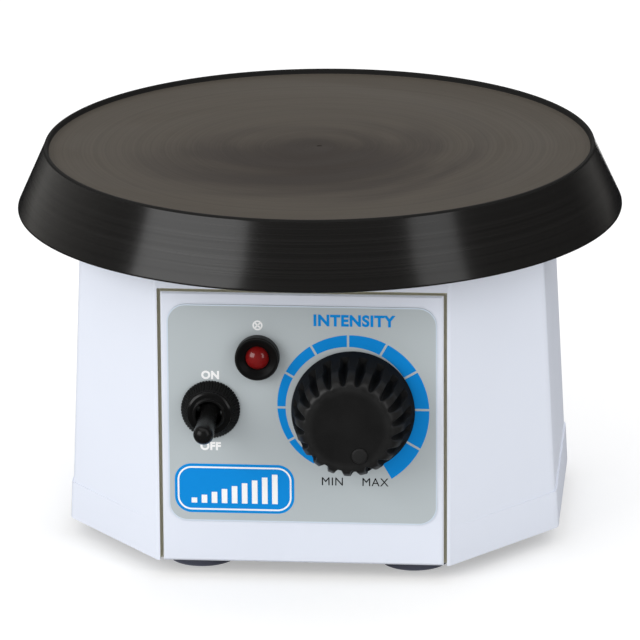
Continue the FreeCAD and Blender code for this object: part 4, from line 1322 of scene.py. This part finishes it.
class VIBRATOR_OT_pilot_lamp(Operator):
    """Turn the pilot lamp's dished bezel and its red lens"""
    bl_idname = "vibrator.pilot_lamp"
    bl_label = "Pilot Lamp"

    def execute(self, context):
        lamp = settings("lamp")
        seat = lamp.lens_radius + LENS_GAP
        bezel = rounded([
            (seat, LENS_LOW, 0),
            (seat, lamp.dish_low, FINE_EDGE),
            (lamp.bezel_radius - BEZEL_LIP, lamp.bezel_high, FULL_EDGE),
            (lamp.bezel_radius, lamp.bezel_high - BEZEL_DROP, SOFT_EDGE),
            (lamp.bezel_radius, LABEL_FACE, FINE_EDGE),
            (BARREL_RADIUS, LABEL_FACE, 0),
            (BARREL_RADIUS, BARREL_LOW, SOFT_EDGE),
            (seat - BARREL_STEP, BARREL_LOW, 0),
            (seat - BARREL_STEP, LENS_LOW, 0),
        ])
        piece("lamp_bezel", turned(bezel, ROUND_SIDES), LAMP, "base", "lamp_black", ["lamp_holder"])
        reach = lamp.lens_radius
        ball = (reach ** 2 + lamp.lens_dome ** 2) / (2 * lamp.lens_dome)
        centre = (0, lamp.dish_low + lamp.lens_dome - ball)
        dome = arc(centre, (ball, ball), math.acos(reach / ball), math.pi / 2, DOME_STEPS)
        foot = straight([Vector((0, LENS_LOW)), Vector((reach, LENS_LOW))], LENS_STEP)
        piece("lamp_jewel", turned(foot + dome, SMALL_SIDES), LAMP, "base", "lens_red", ["lamp_lens"])
        return {"FINISHED"}


class VIBRATOR_OT_rubber_feet(Operator):
    """Turn the four rubber feet and the cord grommet"""
    bl_idname = "vibrator.rubber_feet"
    bl_label = "Rubber Feet"

    def execute(self, context):
        for end in ("front", "rear"):
            for side in ("left", "right"):
                self.foot(end + "_" + side)
        self.grommet()
        return {"FINISHED"}

    def foot(self, corner):
        """One foot, with a recess and a hole for its screw."""
        spot = middle("foot_" + corner)
        radius = span("foot_" + corner).x / 2 + FOOT_SPREAD
        tall = 2 * spot.z
        outline = rounded([
            (RECESS_RADIUS, 0, FINE_EDGE),
            (radius - FOOT_TAPER, 0, CRISP_EDGE),
            (radius, tall, EASED_EDGE),
            (FOOT_HOLE, tall, 0),
            (FOOT_HOLE, RECESS_HIGH, 0),
            (RECESS_RADIUS, RECESS_HIGH, 0),
        ])
        piece("rubber_foot_" + corner, turned(outline, ROUND_SIDES), shift(spot.x, spot.y), "base",
              "foot_rubber", ["foot_" + corner])

    def grommet(self):
        """The grommet in the rear wall, which leans as the front does."""
        outward = Vector((0, math.cos(LEAN), math.sin(LEAN)))
        matrix = axes_matrix(-RIGHT, outward, middle("cord_grommet"))
        half = span("cord_grommet").y / 2 - COLLAR_RADIUS * math.sin(LEAN)
        outline = rounded([
            (CORD_RADIUS, -half, SOFT_EDGE),
            (COLLAR_RADIUS, -half, ROUND_EDGE),
            (COLLAR_RADIUS, -REAR_WALL / 2, FINE_EDGE),
            (NECK_RADIUS, -REAR_WALL / 2, 0),
            (NECK_RADIUS, REAR_WALL / 2, 0),
            (COLLAR_RADIUS, REAR_WALL / 2, FINE_EDGE),
            (COLLAR_RADIUS, half, FULL_EDGE),
            (CORD_RADIUS, half, ROUND_EDGE),
        ])
        piece("rear_grommet", turned(outline, GROMMET_SIDES), matrix, "base", "foot_rubber", ["cord_grommet"])


class VIBRATOR_OT_leaf_springs(Operator):
    """Cut the leaf springs into halves, sliced between their posts and the clamps in their middle"""
    bl_idname = "vibrator.leaf_springs"
    bl_label = "Leaf Springs"

    def execute(self, context):
        for end in ("front", "rear"):
            self.half(end, "left", -RIGHT)
            self.half(end, "right", RIGHT)
        return {"FINISHED"}

    def half(self, end, side, outward):
        """One half of a spring, from the middle of its clamp out over its post, with cuts where it bends."""
        spring = "leaf_spring_" + end
        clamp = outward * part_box("clamp_bar_" + end)[1].x
        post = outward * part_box("spring_post_" + end + "_right")[0].x
        mesh = bmesh.new()
        mesh.from_mesh(frame["nodes"][spring].data)
        bmesh.ops.remove_doubles(mesh, verts=mesh.verts, dist=AXIS_REACH)
        for step in range(BEND_STEPS + 1):
            sliced(mesh, clamp.lerp(post, step / BEND_STEPS), outward)
        cut = sliced(mesh, Vector(), outward, clear_inner=True)
        bmesh.ops.edgeloop_fill(mesh, edges=[item for item in cut if isinstance(item, bmesh.types.BMEdge)])
        name = "spring_blade_" + end + "_" + side
        piece(name, facing_out(mesh), Matrix(), "base", "spring_steel", [spring], bend=(post, clamp))


class VIBRATOR_OT_stage(Operator):
    """Set the floor, the dark wall, the soft boxes, the even fill and the camera"""
    bl_idname = "vibrator.stage"
    bl_label = "Stage"

    def execute(self, context):
        self.floor()
        self.world()
        self.wall()
        self.soft_box("left_box", azimuth=-48, elevation=22, distance=1.5, extent=(1.09, 0.86), radiance=2.6)
        self.soft_box("right_box", azimuth=52, elevation=24, distance=1.5, extent=(0.46, 1.25), radiance=1.65)
        self.soft_box("top_box", azimuth=170, elevation=75, distance=1.8, extent=(1.6, 1.2), radiance=0.6)
        self.camera()
        context.scene.view_settings.view_transform = "Standard"
        return {"FINISHED"}

    def floor(self):
        """A pale floor that keeps the object's shadow."""
        half = FLOOR_SIZE / 2
        mesh = plate([[(-half, -half), (half, -half), (half, half), (-half, half)]], -FLOOR_DEPTH)
        made = linked("floor", data_from(mesh, "floor"))
        material, tree, shader = bare_material("floor_pale")
        tone = use(tree, "Moulded skin", Grain=40.0, Drift=1.5)["Tone"]
        feed(tree, shader, {
            "Base Color": varied(tree, tone, settings("finish").floor, 0.99, 1.01),
            "Roughness": 0.9,
            "Specular IOR Level": 0.0,
            "Emission Color": WHITE,
            "Emission Strength": product(tree, seen_rays(tree), FLOOR_LIFT),
        })
        made.data.materials.append(material)

    def world(self):
        """White where the camera looks, and an even fill for the object."""
        world = bpy.data.worlds.new("studio")
        world.use_nodes = True
        tree = world.node_tree
        tree.nodes.clear()
        strength = ranged(tree, seen_rays(tree), settings("stage").fill, 1.0)
        light = node(tree, "ShaderNodeBackground", {"Color": WHITE, "Strength": strength})
        node(tree, "ShaderNodeOutputWorld", {"Surface": light.outputs[0]})
        bpy.context.scene.world = world

    def wall(self):
        """A dark studio wall and floor cloth, open behind the object, that only glossy surfaces see."""
        mesh = bmesh.new()
        columns = []
        rise = Vector((0, 0, WALL_HEIGHT))
        for step in range(WALL_STEPS + 1):
            away = direction(WALL_SWEEP * (step / WALL_STEPS - 0.5), 0)
            inner, outer = away * CLOTH_RADIUS, away * WALL_RADIUS
            columns.append([mesh.verts.new(point + CLOTH_RISE) for point in (inner, outer, outer + rise)])
        for first, second in zip(columns, columns[1:]):
            for level in (0, 1):
                mesh.faces.new((first[level], second[level], second[level + 1], first[level + 1]))
        data = data_from(mesh, "studio_wall")
        data.materials.append(self.wall_paint())
        made = linked("studio_wall", data)
        for kind in ("camera", "diffuse", "transmission", "volume_scatter", "shadow"):
            setattr(made, "visible_" + kind, False)

    def wall_paint(self):
        """Dark paint that turns lighter towards the rear."""
        finish = settings("finish")
        material, tree, shader = bare_material("wall_paint")
        depth = vectors(tree, "DOT_PRODUCT", object_place(tree), REAR_SIDE)
        feed(tree, shader, {
            "Base Color": mix(tree, faded(tree, depth, *WALL_FADE), finish.wall, finish.wall_back),
            "Roughness": 0.9,
            "Specular IOR Level": 0.0,
        })
        return material

    def soft_box(self, name, azimuth, elevation, distance, extent, radiance):
        """A soft box that faces the table; angles in degrees, radiance 1 as bright as a white page."""
        away = direction(math.radians(azimuth), math.radians(elevation))
        data = bpy.data.lights.new(name, "AREA")
        data.shape = "RECTANGLE"
        data.size, data.size_y = extent
        data.energy = radiance * math.pi * extent[0] * extent[1]
        made = linked(name, data)
        made.location = Vector(settings("stage").target) + away * distance
        made.rotation_mode = "QUATERNION"
        made.rotation_quaternion = away.to_track_quat("Z", "Y")

    def camera(self):
        """The photograph's view."""
        stage = settings("stage")
        back = direction(stage.azimuth, stage.elevation)
        right = Vector((0, 0, 1)).cross(back).normalized()
        matrix = axes_matrix(right, back, Vector(stage.target) + back * stage.distance)
        data = bpy.data.cameras.new("camera")
        data.sensor_width = SENSOR_WIDTH
        data.lens = stage.lens
        data.clip_end = FAR_SIGHT
        made = linked("camera", data)
        made.matrix_world = matrix @ Matrix.Rotation(stage.roll, 4, "Z")
        bpy.context.scene.camera = made


def direction(azimuth, elevation):
    """The way from the object outward; azimuth 0 is its front."""
    flat = math.cos(elevation)
    return Vector((math.sin(azimuth) * flat, -math.cos(azimuth) * flat, math.sin(elevation)))


class VIBRATOR_PT_sidebar(Panel):
    """The steps that dress the vibrator, in order"""
    bl_idname = "VIBRATOR_PT_sidebar"
    bl_label = "Bench Vibrator"
    bl_space_type = "VIEW_3D"
    bl_region_type = "UI"
    bl_category = "Vibrator"

    def draw(self, context):
        for step in STEPS:
            self.layout.operator(step.bl_idname)


STEPS = (
    VIBRATOR_OT_finishes,
    VIBRATOR_OT_table_cover,
    VIBRATOR_OT_panel_print,
    VIBRATOR_OT_control_knob,
    VIBRATOR_OT_toggle_switch,
    VIBRATOR_OT_pilot_lamp,
    VIBRATOR_OT_rubber_feet,
    VIBRATOR_OT_leaf_springs,
    VIBRATOR_OT_stage,
)
CLASSES = (*GROUPS.values(), *STEPS, VIBRATOR_PT_sidebar)


def register():
    for item in CLASSES:
        bpy.utils.register_class(item)
    for name, group in GROUPS.items():
        setattr(bpy.types.Scene, "vibrator_" + name, PointerProperty(type=group))


def unregister():
    for name in GROUPS:
        delattr(bpy.types.Scene, "vibrator_" + name)
    for item in reversed(CLASSES):
        bpy.utils.unregister_class(item)


def main():
    register()
    for step in STEPS:
        family, action = step.bl_idname.split(".")
        getattr(getattr(bpy.ops, family), action)()


if __name__ == "__main__":
    main()
